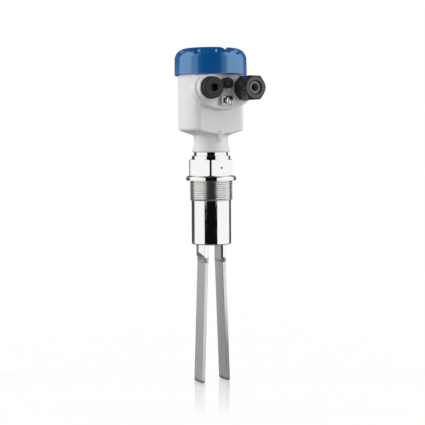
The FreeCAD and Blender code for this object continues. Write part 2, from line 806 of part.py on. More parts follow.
def housing():
    body = new_body("housing")
    shoulder = neck_foot + size.shoulder_height
    turn(body, "outer_form", [
        (ZERO, neck_foot),
        (size.neck_flange_radius, neck_foot),
        (size.neck_flange_radius, neck_foot + size.neck_flange_height, size.neck_flange_round),
        (size.neck_radius, neck_foot + size.neck_taper_height, size.neck_taper_round),
        (size.neck_radius, neck_foot + size.neck_height, size.neck_round),
        (body_low_radius, shoulder, size.shoulder_round),
        (body_radius, ledge_level),
        (body_radius, rim_level),
        (ZERO, rim_level),
    ])
    far = body_radius * 2
    half_flat = size.flat_width / 2
    side_rise = (far - half_flat) * sine(size.flat_side_angle) / cosine(size.flat_side_angle)
    flat = outline(body, "flat_outline", "XY_Plane", [
        (-far, -far),
        (far, -far),
        (far, side_rise - size.flat_distance),
        (half_flat, -size.flat_distance, size.flat_round),
        (-half_flat, -size.flat_distance, size.flat_round),
        (-far, side_rise - size.flat_distance),
    ], ledge_level)
    extrude(body, "front_flat", flat, size.ledge_height - size.neck_height, cuts=True)

    plateau = new_sketch(body, "plateau_face", "XZ_Plane", size.plateau_distance)
    plateau_outline(plateau)
    extrude(body, "plateau", plateau, size.plateau_distance - cavity_flat, back=True)
    plateau_y = -size.plateau_distance.value
    round_edges(body, "plateau_edges", size.plateau_round, lambda edge: (
        on_plane(edge, "y", plateau_y) and not on_plane(edge, "z", ledge_level.value)
    ))
    for side, sign in (("left", -1), ("right", 1)):
        boss = new_sketch(body, side + "_boss_face", "XZ_Plane", boss_face)
        add_circle(boss, size.boss_radius, size.entry_offset * sign, entry_level)
        extrude(body, side + "_boss", boss, size.boss_height, back=True)
    boss_y = -boss_face.value
    round_edges(body, "boss_edges", size.boss_round, lambda edge: on_plane(edge, "y", boss_y))

    rib = outline(body, "rib_outline", "YZ_Plane", [
        (-size.neck_radius + size.housing_wall, neck_foot + size.rib_low_height),
        (-size.rib_low_reach, neck_foot + size.rib_low_height, size.rib_round),
        (-size.rib_high_reach, neck_foot + size.rib_high_height),
        (-size.neck_radius + size.housing_wall, neck_foot + size.rib_high_height),
    ])
    extrude(body, "rib", rib, size.rib_thickness, both_ways=True)

    room = new_sketch(body, "cavity_mouth", "XY_Plane", rim_level)
    add_circle(room, cavity_radius)
    upper = rim_level - ledge_level
    extrude(body, "upper_cavity", room, upper, cuts=True)
    lower = new_sketch(body, "lower_cavity_outline", "XY_Plane", ledge_level)
    flat_outline_of_cavity(lower, cavity_radius, cavity_flat)
    extrude(body, "lower_cavity", lower, ledge_level - floor_level, cuts=True)
    turn(body, "neck_bore", [
        (ZERO, neck_foot),
        (neck_bore, neck_foot),
        (neck_bore, swivel_level),
        (snap_room, swivel_level),
        (snap_room, floor_level),
        (ZERO, floor_level),
    ], cuts=True)
    for side, sign in (("left", -1), ("right", 1)):
        where = (size.entry_offset * sign, entry_level)
        entry = new_sketch(body, side + "_entry_mouth", "XZ_Plane", boss_face)
        add_circle(entry, size.entry_bore_radius, *where)
        extrude(body, side + "_entry", entry, size.entry_depth, cuts=True)
        wires = new_sketch(body, side + "_wire_mouth", "XZ_Plane", boss_face)
        add_circle(wires, size.wire_hole_radius, *where)
        extrude(body, side + "_wire_hole", wires, boss_face - cavity_flat, cuts=True)
    vent = new_sketch(body, "vent_mouth", "XZ_Plane", size.plateau_distance)
    add_circle(vent, size.filter_stub_radius + size.seat_gap, ZERO, filter_level)
    extrude(body, "vent_hole", vent, size.plateau_distance - cavity_flat, cuts=True)
    earth = new_sketch(body, "earth_mouth", "XZ_Plane", size.plateau_distance)
    add_circle(earth, earth_hole, ZERO, earth_level)
    extrude(body, "earth_hole", earth, size.earth_screw_length - size.saddle_height, cuts=True)
    for side, sign in (("left", -1), ("right", 1)):
        where = (size.fixing_across * sign, size.fixing_setback)
        drill(body, side + "_fixing_hole", fixing_hole, floor_level, size.fixing_grip + size.seat_gap, *where)


def flat_outline_of_cavity(sketch, radius, flat):
    """A circle with its front cut off straight."""
    chord = root(radius * radius - flat * flat)
    start = math.atan2(-flat.value, chord.value)
    circle = Part.Circle(FreeCAD.Vector(0, 0, 0), FreeCAD.Vector(0, 0, 1), radius.value)
    arc = sketch.addGeometry(Part.ArcOfCircle(circle, start, math.pi - start))
    left = FreeCAD.Vector(-chord.value, -flat.value, 0)
    right = FreeCAD.Vector(chord.value, -flat.value, 0)
    line = sketch.addGeometry(Part.LineSegment(left, right))
    constrain(sketch, "Coincident", arc, 3, -1, 1)
    constrain(sketch, "Coincident", line, 1, arc, 2)
    constrain(sketch, "Coincident", line, 2, arc, 1)
    pin_point(sketch, line, 1, -chord, -flat)
    constrain(sketch, "Horizontal", line)


def lid():
    """Screwed lid: a skirt, a broad rounded shoulder and a dished top, with notches and dimples."""
    body = new_body("lid")
    top = lid_seat + size.lid_height
    shoulder_radius = size.lid_radius - size.lid_draft
    dish = shoulder_radius - size.lid_shoulder_round - size.lid_land
    dish_floor = top - size.lid_dish_depth
    turn(body, "lid_section", [
        (ZERO, dish_floor - size.lid_dish_wall),
        (cavity_radius, dish_floor - size.lid_dish_wall),
        (cavity_radius, lid_seat),
        (lid_bore, lid_seat),
        (lid_bore, lid_foot),
        (size.lid_radius, lid_foot, size.lid_lip_round),
        (shoulder_radius, top, size.lid_shoulder_round),
        (dish, top),
        (dish, dish_floor, size.lid_dish_round),
        (ZERO, dish_floor),
    ])
    half = size.notch_width / 2
    notch = outline(body, "notch_outline", "XZ_Plane", [
        (-half, top),
        (ZERO, top - size.notch_depth, size.notch_round),
        (half, top),
    ])
    extrude(body, "notches", notch, size.lid_radius * 2, cuts=True, both_ways=True)
    shoulder_centre = shoulder_radius - size.lid_shoulder_round
    sphere_reach = size.lid_shoulder_round + size.dimple_radius - size.dimple_depth
    ball = body.newObject("PartDesign::SubtractiveSphere", "dimple")
    ball.AttachmentSupport = (origin_part(body, "XY_Plane"), [""])
    ball.MapMode = "FlatFace"
    bind(ball, "Radius", size.dimple_radius)
    outward = shoulder_centre + sphere_reach * cosine(size.dimple_angle)
    upward = top - size.lid_shoulder_round + sphere_reach * sine(size.dimple_angle)
    bind(ball, "AttachmentOffset.Base.x", outward)
    bind(ball, "AttachmentOffset.Base.z", upward)
    settled(body, ball, True)
    pattern(body, "dimples", ball, size.dimple_count)
    body.Placement = FreeCAD.Placement(FreeCAD.Vector(), FreeCAD.Rotation())
    bind(body, "Placement.Rotation.Angle", size.lid_clock_angle)

    seal = new_body("lid_seal")
    inset = size.lid_seal_inset
    ring(seal, "lid_seal_ring", cavity_radius + inset, body_radius - inset, rim_level, lid_seat)


def blind_plug():
    seal = new_body("plug_seal")
    place(seal, -size.entry_offset, -boss_face, entry_level, facing_front=True)
    gap = stub_radius + size.screw_gap
    ring(seal, "plug_seal_ring", gap, size.plug_radius + size.seal_overhang, ZERO, size.seal_thickness)

    body = new_body("blind_plug")
    place(body, -size.entry_offset, -boss_face, entry_level, facing_front=True)
    front = size.seal_thickness + size.plug_head_height
    end = size.seal_thickness - size.plug_stub_length
    turn(body, "plug_section", [
        (ZERO, end + size.plug_hollow_depth),
        (size.plug_hollow_radius, end + size.plug_hollow_depth),
        (size.plug_hollow_radius, end),
        (stub_radius, end),
        (stub_radius, size.seal_thickness),
        (size.plug_radius, size.seal_thickness),
        (size.plug_radius, front - size.plug_chamfer),
        (size.plug_radius - size.plug_chamfer, front),
        (ZERO, front),
    ])
    sides = hexagon(size.plug_socket_across, corner_up=True)
    socket = outline(body, "socket_outline", "XY_Plane", sides, front)
    extrude(body, "hex_socket", socket, size.plug_socket_depth, cuts=True)


def cable_gland():
    where = (size.entry_offset, -boss_face, entry_level)
    gasket = new_body("gland_gasket")
    place(gasket, *where, facing_front=True)
    gap = stub_radius + size.screw_gap
    ring(gasket, "gasket_ring", gap, size.gland_across / 2 + size.seal_overhang, ZERO, size.seal_thickness)

    body = new_body("gland_body")
    place(body, *where, facing_front=True)
    low = size.seal_thickness
    hex_front = low + size.gland_hex_height
    neck_front = hex_front + size.gland_neck_length
    end = low - size.plug_stub_length
    corner = size.gland_across / (2 * COS30)
    flat = size.gland_across / 2
    turn(body, "gland_section", [
        (size.gland_bore_radius, end),
        (stub_radius, end),
        (stub_radius, low),
        (flat, low),
        (corner, low + size.gland_corner_drop),
        (corner, hex_front - size.gland_corner_drop),
        (flat, hex_front),
        (size.gland_neck_radius, hex_front),
        (size.gland_neck_radius, neck_front),
        (size.gland_bore_radius, neck_front),
    ])
    trim_to_hexagon(body, "gland_flats", size.gland_across, low, size.gland_hex_height)

    insert = new_body("gland_insert")
    place(insert, *where, facing_front=True)
    face = neck_front + size.insert_flange_height
    sleeve = size.gland_bore_radius - size.screw_gap
    turn(insert, "insert_section", [
        (size.insert_bore_radius, neck_front - size.insert_sleeve_length),
        (sleeve, neck_front - size.insert_sleeve_length),
        (sleeve, neck_front),
        (size.gland_neck_radius, neck_front),
        (size.gland_neck_radius, face),
        (size.insert_bore_radius, face),
    ])

    nut = new_body("gland_nut")
    place(nut, *where, facing_front=True)
    nut_low = hex_front + size.gland_nut_gap
    nut_front = nut_low + size.gland_nut_height
    hollow = size.gland_neck_radius + size.screw_gap
    turn(nut, "nut_section", [
        (hollow, nut_low),
        (flat, nut_low),
        (corner, nut_low + size.gland_corner_drop),
        (corner, nut_front, size.gland_nut_round),
        (size.gland_mouth_radius, nut_front),
        (size.gland_mouth_radius, face),
        (hollow, face),
    ])
    trim_to_hexagon(nut, "nut_sides", size.gland_across, nut_low, size.gland_nut_height)


def filter_element():
    body = new_body("filter_element")
    place(body, ZERO, -size.plateau_distance, filter_level, facing_front=True)
    middle = size.filter_reach / 2
    groove = size.filter_groove
    turn(body, "filter_section", [
        (ZERO, -size.filter_stub_length),
        (size.filter_stub_radius, -size.filter_stub_length),
        (size.filter_stub_radius, ZERO),
        (filter_radius, ZERO),
        (filter_radius, middle - groove),
        (filter_radius - groove, middle - groove),
        (filter_radius - groove, middle + groove),
        (filter_radius, middle + groove),
        (filter_radius, size.filter_reach, size.filter_round),
        (ZERO, size.filter_reach),
    ])


def earth_terminal():
    where = (ZERO, -size.plateau_distance, earth_level)
    sheet_top = size.earth_sheet
    half_width = size.earth_width / 2
    half_depth = size.earth_depth / 2
    bracket = new_body("ground_bracket")
    place(bracket, *where, facing_front=True)
    section = outline(bracket, "bracket_section", "XZ_Plane", [
        (-half_width, ZERO),
        (half_width, ZERO),
        (half_width, size.earth_leg_height),
        (half_width - sheet_top, size.earth_leg_height),
        (half_width - sheet_top, sheet_top),
        (-half_width + sheet_top, sheet_top),
        (-half_width + sheet_top, size.earth_leg_height),
        (-half_width, size.earth_leg_height),
    ])
    extrude(bracket, "bracket_sheet", section, size.earth_depth, both_ways=True)
    drill(bracket, "bracket_hole", earth_hole, sheet_top, sheet_top)

    saddle = new_body("ground_clamp")
    place(saddle, *where, facing_front=True)
    half_saddle = half_width - sheet_top - size.saddle_gap
    top = sheet_top + size.saddle_height
    section = outline(saddle, "saddle_section", "XZ_Plane", [
        (-half_saddle, sheet_top),
        (-half_saddle + sheet_top, sheet_top),
        (-half_saddle + sheet_top, top - sheet_top),
        (half_saddle - sheet_top, top - sheet_top),
        (half_saddle - sheet_top, sheet_top),
        (half_saddle, sheet_top),
        (half_saddle, top),
        (-half_saddle, top),
    ])
    extrude(saddle, "saddle_sheet", section, half_depth * 2 - sheet_top, both_ways=True)
    drill(saddle, "saddle_hole", earth_hole, top, sheet_top)

    screw = new_body("ground_screw")
    place(screw, *where, facing_front=True)
    head_top = top + size.earth_head_height
    turn(screw, "screw_section", [
        (ZERO, top - size.earth_screw_length),
        (size.earth_screw_radius, top - size.earth_screw_length),
        (size.earth_screw_radius, top),
        (size.earth_head_radius, top),
        (size.earth_head_radius, head_top, size.earth_sheet),
        (ZERO, head_top),
    ])
    slot = slot_outline(screw, "slot_outline", size.earth_slot_width, size.earth_head_radius, head_top)
    extrude(screw, "screw_slot", slot, size.earth_slot_depth, cuts=True)


def terminal_places():
    """Where the terminals stand across the insert."""
    count = int(size.terminal_count.value)
    return [size.terminal_pitch * (i - (count - 1) / 2) for i in range(count)]


def electronics():
    module = new_body("electronics_module")
    form = new_sketch(module, "module_outline", "XY_Plane", floor_level)
    flat_outline_of_cavity(form, cavity_radius - size.insert_room, cavity_flat - size.insert_room)
    extrude(module, "module_block", form, size.module_height)
    round_edges(module, "module_edges", size.module_edge, lambda edge: on_plane(edge, "z", module_top.value))
    lead_depth = size.module_height / 2
    lead_mouth = new_sketch(module, "lead_mouth", "XY_Plane", floor_level)
    add_circle(lead_mouth, lead_hole)
    extrude(module, "lead_socket", lead_mouth, lead_depth, cuts=True, back=True)
    for side, sign in (("left", -1), ("right", 1)):
        where = (size.fixing_across * sign, size.fixing_setback)
        drill(module, side + "_fixing", fixing_hole, module_top, size.module_height, *where)
    drill(module, "adjuster_well", control_hole, module_top, size.control_sink,
          size.adjuster_across, size.control_setback)
    drill(module, "lamp_well", size.lamp_radius + size.seat_gap, module_top, size.control_sink,
          size.lamp_across, size.control_setback)
    half_slot = (size.switch_width + size.switch_travel) / 2 + size.screw_gap
    half_depth = size.switch_depth / 2 + size.screw_gap
    well = outline(module, "switch_outline", "XY_Plane", rectangle(
        -half_slot, half_slot, size.control_setback - half_depth, size.control_setback + half_depth
    ), module_top)
    extrude(module, "switch_well", well, size.control_sink, cuts=True)

    block = new_body("terminal_block")
    places = terminal_places()
    half_width = size.terminal_pitch * len(places) / 2
    front = size.terminal_setback
    back = front + size.terminal_depth
    block_top = module_top + size.terminal_height
    footprint = rectangle(-half_width, half_width, front, back)
    foot = outline(block, "block_outline", "XY_Plane", footprint, module_top)
    extrude(block, "block", foot, size.terminal_height)
    half_mouth = size.terminal_mouth / 2
    mouth_level = module_top + size.terminal_mouth
    well_radius = size.terminal_screw_radius + size.seat_gap
    middle = front + size.terminal_depth / 2
    screws = []
    for number, across in enumerate(places, start=1):
        left = across - half_mouth
        right = across + half_mouth
        opening = rectangle(left, right, mouth_level - half_mouth, mouth_level + half_mouth)
        mouth = outline(block, f"wire_outline_{number}", "XZ_Plane", opening, -front)
        extrude(block, f"wire_mouth_{number}", mouth, size.terminal_mouth_depth, cuts=True)
        depth = size.terminal_screw_height
        drill(block, f"screw_well_{number}", well_radius, block_top, depth, across, middle)
        screw = new_body(f"terminal_screw_{number}")
        place(screw, across, middle, block_top - size.terminal_screw_height)
        low_edge = size.terminal_screw_height - size.terminal_slot
        ring(screw, f"terminal_head_{number}", ZERO, size.terminal_screw_radius, ZERO, low_edge)
        slot = slot_outline(
            screw, f"terminal_slot_{number}", size.terminal_slot, size.terminal_screw_radius, low_edge
        )
        extrude(screw, f"terminal_cut_{number}", slot, size.terminal_slot, cuts=True)
        screws.append(screw)
    group("terminal_screws", screws)

    lamp = new_body("signal_lamp")
    place(lamp, size.lamp_across, size.control_setback, module_top - size.control_sink)
    turn(lamp, "lamp_dome", [
        (ZERO, ZERO),
        (size.lamp_radius, ZERO),
        (size.lamp_radius, size.lamp_height, size.lamp_radius * 0.9),
        (ZERO, size.lamp_height),
    ])

    slider = new_body("mode_switch")
    start = -size.switch_travel / 2
    place(slider, start, size.control_setback, module_top - size.control_sink)
    half = size.switch_width / 2
    deep = size.switch_depth / 2
    foot = outline(slider, "slider_outline", "XY_Plane", rectangle(-half, half, -deep, deep))
    extrude(slider, "slider_block", foot, size.switch_height)

    adjuster = new_body("adjuster")
    place(adjuster, size.adjuster_across, size.control_setback, module_top - size.control_sink)
    ring(adjuster, "adjuster_turn", ZERO, size.adjuster_radius, ZERO, size.adjuster_height)
    slot = slot_outline(
        adjuster, "adjuster_slot_outline", size.terminal_slot, size.adjuster_radius, size.adjuster_height
    )
    extrude(adjuster, "adjuster_slot", slot, size.terminal_slot * 2, cuts=True)

    fixings = []
    for side, sign in (("left", -1), ("right", 1)):
        screw = new_body(f"fixing_{side}")
        place(screw, size.fixing_across * sign, size.fixing_setback, module_top)
        turn(screw, f"fixing_section_{side}", [
            (ZERO, -(size.module_height + size.fixing_grip)),
            (size.fixing_radius, -(size.module_height + size.fixing_grip)),
            (size.fixing_radius, ZERO),
            (size.fixing_head_radius, ZERO),
            (size.fixing_head_radius, size.fixing_head_height, size.terminal_slot),
            (ZERO, size.fixing_head_height),
        ])
        fixings.append(screw)
    group("module_screws", fixings)


def check_and_export():
    """Stops at the first failed object, then writes each node to its own file."""
    doc.recompute()
    for thing in doc.Objects:
        if "Invalid" in thing.State or "Error" in thing.State:
            raise RuntimeError(f"{thing.Name} failed: {thing.State}")
    os.makedirs("parts", exist_ok=True)
    for node in NODES:
        if node.Shape.isNull() or not node.Shape.isValid():
            raise RuntimeError(f"{node.Label} has no valid shape")
    for node in NODES:
        node.Shape.exportStep(f"parts/{node.Label}.step")
        box = node.Shape.BoundBox
        print(f"{node.Label}: {len(node.Shape.Solids)} solids, {node.Shape.Volume:.0f} mm3, "
              f"z {box.ZMin:.1f} to {box.ZMax:.1f}")


process_fitting()
swivel_rings()
sensor_tube()
fork_membrane()
tine("tine_left", -1)
tine("tine_right", 1)
piezo_drive()
housing()
lid()
blind_plug()
cable_gland()
filter_element()
earth_terminal()
electronics()
check_and_export()
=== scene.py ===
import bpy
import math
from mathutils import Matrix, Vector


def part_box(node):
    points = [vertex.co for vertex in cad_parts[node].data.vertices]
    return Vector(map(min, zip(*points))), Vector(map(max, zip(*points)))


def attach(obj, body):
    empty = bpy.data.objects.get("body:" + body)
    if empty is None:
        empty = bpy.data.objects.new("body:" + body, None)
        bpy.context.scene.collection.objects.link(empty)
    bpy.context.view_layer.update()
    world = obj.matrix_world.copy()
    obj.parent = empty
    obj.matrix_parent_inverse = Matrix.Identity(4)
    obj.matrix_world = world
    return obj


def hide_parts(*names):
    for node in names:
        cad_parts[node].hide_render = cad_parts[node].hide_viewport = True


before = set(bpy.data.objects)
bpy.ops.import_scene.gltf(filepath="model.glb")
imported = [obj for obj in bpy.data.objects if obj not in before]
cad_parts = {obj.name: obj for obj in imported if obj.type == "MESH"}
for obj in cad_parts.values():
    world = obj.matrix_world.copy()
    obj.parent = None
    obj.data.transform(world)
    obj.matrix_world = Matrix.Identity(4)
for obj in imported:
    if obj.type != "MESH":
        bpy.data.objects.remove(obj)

# %% [markdown]
# # A vibrating fork level switch
# The switch screws into the wall of a tank. Its steel fork hums at a steady pitch in air, and the
# pitch drops when liquid covers the tines. A grey moulded housing on top keeps the electronics, a
# blue lid closes it. FreeCAD made the shapes and the joints; here each visible piece is modelled
# once more with the soft edges, threads and weld seams that the eye expects. Sizes are in
# millimetres unless a comment says otherwise.

MM = 0.001
TURN = 2.0 * math.pi
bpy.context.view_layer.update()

# %% [markdown]
# ## Finishes
# A finish is more than a colour. Polished steel keeps faint turning lines, moulded plastic a fine
# grain, a weld its mottled skin. Painted pictures could show that, but noise in the object's own
# coordinates needs no unwrapping, has no seams and stays on the piece when a joint moves. So each
# finish is one shader, with noise that runs its colour, its roughness or its relief.

# %% Finish helpers
NOISE_LOW, NOISE_HIGH = 0.3, 0.7  # most of the noise lies between these shares
NOISE_DETAIL = 3.0


def new_finish(name, colour, roughness, metallic=0.0, **more):
    """An even finish with its shader and its object coordinates; more sockets by name."""
    finish = bpy.data.materials.new(name)
    finish.use_nodes = True
    shader = finish.node_tree.nodes["Principled BSDF"]
    shader.inputs["Base Color"].default_value = (*colour, 1)
    shader.inputs["Roughness"].default_value = roughness
    shader.inputs["Metallic"].default_value = metallic
    for socket, value in more.items():
        shader.inputs[socket.replace("_", " ")].default_value = value
    finish.node_tree.nodes.new("ShaderNodeTexCoord").name = "place"
    return finish


def noise_on(finish, scale, stretch=(1, 1, 1)):
    """Noise in object coordinates, scale in cells per metre, stretched along an axis if asked."""
    tree = finish.node_tree
    grid = tree.nodes.new("ShaderNodeMapping")
    grid.inputs["Scale"].default_value = stretch
    noise = tree.nodes.new("ShaderNodeTexNoise")
    noise.inputs["Scale"].default_value = scale
    noise.inputs["Detail"].default_value = NOISE_DETAIL
    tree.links.new(tree.nodes["place"].outputs["Object"], grid.inputs["Vector"])
    tree.links.new(grid.outputs["Vector"], noise.inputs["Vector"])
    return noise


def vary(finish, noise, socket, low, high):
    """Lets the noise run a socket between two values or colours."""
    tree = finish.node_tree
    scale = tree.nodes.new("ShaderNodeValToRGB")
    ends = scale.color_ramp.elements
    for end, position, value in zip(ends, (NOISE_LOW, NOISE_HIGH), (low, high)):
        end.position = position
        end.color = (value, value, value, 1) if isinstance(value, float) else (*value, 1)
    tree.links.new(noise.outputs["Fac"], scale.inputs["Fac"])
    tree.links.new(scale.outputs["Color"], tree.nodes["Principled BSDF"].inputs[socket])


def grain(finish, noise, height, strength):
    """Raises the surface by the noise."""
    tree = finish.node_tree
    bump = tree.nodes.new("ShaderNodeBump")
    bump.inputs["Distance"].default_value = height * MM
    bump.inputs["Strength"].default_value = strength
    tree.links.new(noise.outputs["Fac"], bump.inputs["Height"])
    tree.links.new(bump.outputs["Normal"], tree.nodes["Principled BSDF"].inputs["Normal"])


print("noise runs a socket from", NOISE_LOW, "to", NOISE_HIGH)

# %% [markdown]
# ### Steel
# The fitting, the tube and the membrane are turned from stainless bar and polished to a mirror. The
# tines are sheet, ground along their length, so their gloss is duller. The weld between the two
# keeps its heat colours. One steel with different roughness would come close, but stretched noise
# also gives the lines that turning and grinding leave, and a weld needs its own patches.

# %% Steel finishes
polished = new_finish("polished_steel", (0.87, 0.87, 0.865), 0.07, 1.0)
vary(polished, noise_on(polished, 160), "Roughness", 0.05, 0.10)
grain(polished, noise_on(polished, 500, (0.2, 0.2, 6)), 0.002, 0.25)

threaded = new_finish("cut_thread", (0.82, 0.815, 0.8), 0.2, 1.0)
vary(threaded, noise_on(threaded, 260), "Base Color", (0.78, 0.775, 0.76), (0.86, 0.855, 0.84))
vary(threaded, noise_on(threaded, 900, (0.2, 0.2, 4)), "Roughness", 0.14, 0.26)


def ground_steel(name):
    """Sheet steel, ground along its length."""
    finish = new_finish(name, (0.74, 0.735, 0.735), 0.3, 1.0)
    lines = noise_on(finish, 300, (12, 12, 0.4))
    vary(finish, lines, "Roughness", 0.32, 0.44)
    grain(finish, lines, 0.004, 0.3)
    return finish


satin = ground_steel("satin_steel")

weld = new_finish("weld_seam", (0.5, 0.48, 0.45), 0.3, 1.0)
vary(weld, noise_on(weld, 420), "Base Color", (0.1, 0.095, 0.09), (0.85, 0.84, 0.82))
vary(weld, noise_on(weld, 700), "Roughness", 0.15, 0.45)
grain(weld, noise_on(weld, 700), 0.12, 0.6)
print("steel:", polished.name, threaded.name, satin.name, weld.name)

# %% [markdown]
# ### Plastics and rubber
# The housing is a light grey moulding with an eroded grain, the lid the same plastic in blue, but
# from a polished mould. Plug, gland and filter are black polyamide, the gland's nut with a smoother
# skin, and the seals are rubber. A mould's grain could be modelled, but it is finer than a pixel,
# so a bump does. The lid's bright bands are bluish in the photo, so its reflection is tinted and
# strong.

# %% Plastic finishes
grey = new_finish("grey_housing", (0.83, 0.835, 0.85), 0.42)
vary(grey, noise_on(grey, 90), "Base Color", (0.82, 0.825, 0.84), (0.84, 0.845, 0.86))
grain(grey, noise_on(grey, 1800), 0.02, 0.12)

blue = new_finish("blue_lid", (0.0, 0.1, 0.36), 0.16, IOR=2.6, Specular_Tint=(0.6, 0.9, 1.0, 1))
vary(blue, noise_on(blue, 120), "Roughness", 0.13, 0.2)
vary(blue, noise_on(blue, 60), "Base Color", (0.0, 0.11, 0.4), (0.0, 0.12, 0.42))

black = new_finish("black_plastic", (0.012, 0.0125, 0.0135), 0.4, Specular_IOR_Level=0.35)
vary(black, noise_on(black, 200), "Base Color", (0.016, 0.0165, 0.018), (0.02, 0.0205, 0.022))
vary(black, noise_on(black, 300), "Roughness", 0.32, 0.46)
grain(black, noise_on(black, 2500), 0.02, 0.2)

glossy_black = new_finish("nut_plastic", (0.018, 0.0185, 0.02), 0.25, Specular_IOR_Level=1.0)
vary(glossy_black, noise_on(glossy_black, 300), "Roughness", 0.2, 0.3)
grain(glossy_black, noise_on(glossy_black, 2500), 0.02, 0.15)

rubber = new_finish("black_rubber", (0.03, 0.03, 0.03), 0.6)
vary(rubber, noise_on(rubber, 500), "Base Color", (0.02, 0.02, 0.02), (0.035, 0.035, 0.035))

insert_grey = new_finish("grey_rubber", (0.16, 0.17, 0.17), 0.5)
vary(insert_grey, noise_on(insert_grey, 500), "Base Color", (0.2, 0.21, 0.21), (0.26, 0.27, 0.27))
plastics = (grey, blue, black, glossy_black, rubber, insert_grey)
print("plastic:", *(finish.name for finish in plastics))

# %% [markdown]
# ### Inside pieces
# The drive in the tube and the electronics under the lid would be seen if the switch were opened.
# They could be modelled anew like the outside, but nobody sees their edges from afar. So they keep
# the shapes of the construction and get plain workshop finishes.

# %% Inside finishes
nickel = new_finish("terminal_metal", (0.62, 0.61, 0.59), 0.12, 1.0)
vary(nickel, noise_on(nickel, 800), "Roughness", 0.08, 0.18)

ceramic = new_finish("ceramic", (0.8, 0.78, 0.72), 0.5)
vary(ceramic, noise_on(ceramic, 400), "Base Color", (0.74, 0.72, 0.66), (0.84, 0.82, 0.77))

brass = new_finish("brass", (0.7, 0.52, 0.24), 0.3, 1.0)
vary(brass, noise_on(brass, 500), "Roughness", 0.22, 0.4)

sleeve = new_finish("lead_sleeve", (0.5, 0.06, 0.05), 0.5)
vary(sleeve, noise_on(sleeve, 300), "Base Color", (0.42, 0.05, 0.04), (0.55, 0.07, 0.06))

module = new_finish("module_plastic", (0.05, 0.06, 0.07), 0.45)
vary(module, noise_on(module, 300), "Base Color", (0.045, 0.052, 0.06), (0.06, 0.068, 0.078))
grain(module, noise_on(module, 2000), 0.02, 0.2)

terminal = new_finish("terminal_plastic", (0.1, 0.3, 0.14), 0.4)
vary(terminal, noise_on(terminal, 300), "Base Color", (0.08, 0.26, 0.12), (0.12, 0.33, 0.16))

white = new_finish("white_plastic", (0.8, 0.8, 0.78), 0.4)
vary(white, noise_on(white, 300), "Base Color", (0.77, 0.77, 0.75), (0.83, 0.83, 0.81))

lens = new_finish("lamp_lens", (0.75, 0.5, 0.04), 0.12)
vary(lens, noise_on(lens, 900), "Base Color", (0.68, 0.44, 0.03), (0.8, 0.55, 0.06))

kept = {
    "drive_sleeve": satin, "piezo_rings": ceramic, "electrode_plates": brass,
    "insulating_washers": ceramic, "drive_bolt": nickel, "drive_nut": nickel,
    "drive_lead": sleeve, "neck_seal": rubber, "retaining_ring": satin, "gland_gasket": rubber,
    "plug_seal": rubber, "lid_seal": rubber, "electronics_module": module,
    "terminal_block": terminal, "terminal_screws": nickel, "module_screws": nickel,
    "signal_lamp": lens, "mode_switch": white, "adjuster": white,
}
for node, finish in kept.items():
    carried = bpy.data.objects[node]
    carried.data.materials.clear()
    carried.data.materials.append(finish)
print(len(kept), "construction nodes keep their shape")

# %% [markdown]
# ## Working like a person in edit mode
# Points and faces could be listed in code, but a learner can't see how such a list came about.
# Every step below works as one would by hand: pick some points or edges by where they are, then run
# one operator on them. Picking by place keeps working when a size changes a little.

# %% Picking
MERGE = 0.002  # points that lie closer are one point


def only(piece):
    """Makes one object the only selected and the active one, in object mode."""
    if bpy.context.object and bpy.context.object.mode == "EDIT":
        bpy.ops.object.mode_set(mode="OBJECT")
    bpy.ops.object.select_all(action="DESELECT")
    piece.select_set(True)
    bpy.context.view_layer.objects.active = piece


def edit_all(piece):
    """Starts to edit a piece, with everything selected."""
    only(piece)
    bpy.ops.object.mode_set(mode="EDIT")
    bpy.ops.mesh.select_all(action="SELECT")


def pick(piece, kind, wanted):
    """Starts to edit a piece, with the points, or the edges by both ends, that are wanted."""
    only(piece)
    mesh = piece.data
    for part in (mesh.vertices, mesh.edges, mesh.polygons):
        part.foreach_set("select", [False] * len(part))
    spots = [point.co / MM for point in mesh.vertices]
    if kind == "VERT":
        for point, spot in zip(mesh.vertices, spots):
            point.select = wanted(spot)
    else:
        for edge in mesh.edges:
            edge.select = wanted(*(spots[number] for number in edge.vertices))
    bpy.context.tool_settings.mesh_select_mode = (kind == "VERT", kind == "EDGE", False)
    bpy.ops.object.mode_set(mode="EDIT")


def tidy(piece, smooth=35):
    """Merges doubled points, turns the normals outwards and smooths all but the sharp edges."""
    edit_all(piece)
    bpy.ops.mesh.remove_doubles(threshold=MERGE * MM)
    bpy.ops.mesh.normals_make_consistent(inside=False)
    bpy.ops.object.mode_set(mode="OBJECT")
    bpy.ops.object.shade_smooth_by_angle(angle=math.radians(smooth))


print("points closer than", MERGE, "mm are merged")

# %% [markdown]
# ## Drawing and spinning
# Most of the switch comes off a lathe, so most pieces start as half a section that is spun round
# its axis. A cylinder with edited rings would do too, but a section shows the shape at a glance. It
# is drawn point by point, and its corners are rounded before the spin, as a turner would break
# them.

# %% Drawing and spinning
SAME_SPOT = 0.001  # how far a picked point may lie from its corner
LEAST_FACETS, FACETS_PER_MM = 3, 2.5  # of a rounded corner


def added(name):
    """The object that an operator has just added, with its name."""
    piece = bpy.context.object
    piece.name = piece.data.name = name
    return piece


def start_at(name, place):
    """A new object that holds one point, to extrude an outline from; place in metres."""
    bpy.ops.object.select_all(action="DESELECT")
    bpy.ops.mesh.primitive_plane_add(size=MM, location=(0, 0, 0))
    piece = added(name)
    bpy.context.tool_settings.mesh_select_mode = (True, False, False)
    bpy.ops.object.mode_set(mode="EDIT")
    bpy.ops.mesh.merge(type="CENTER")
    bpy.ops.transform.translate(value=place)
    return piece


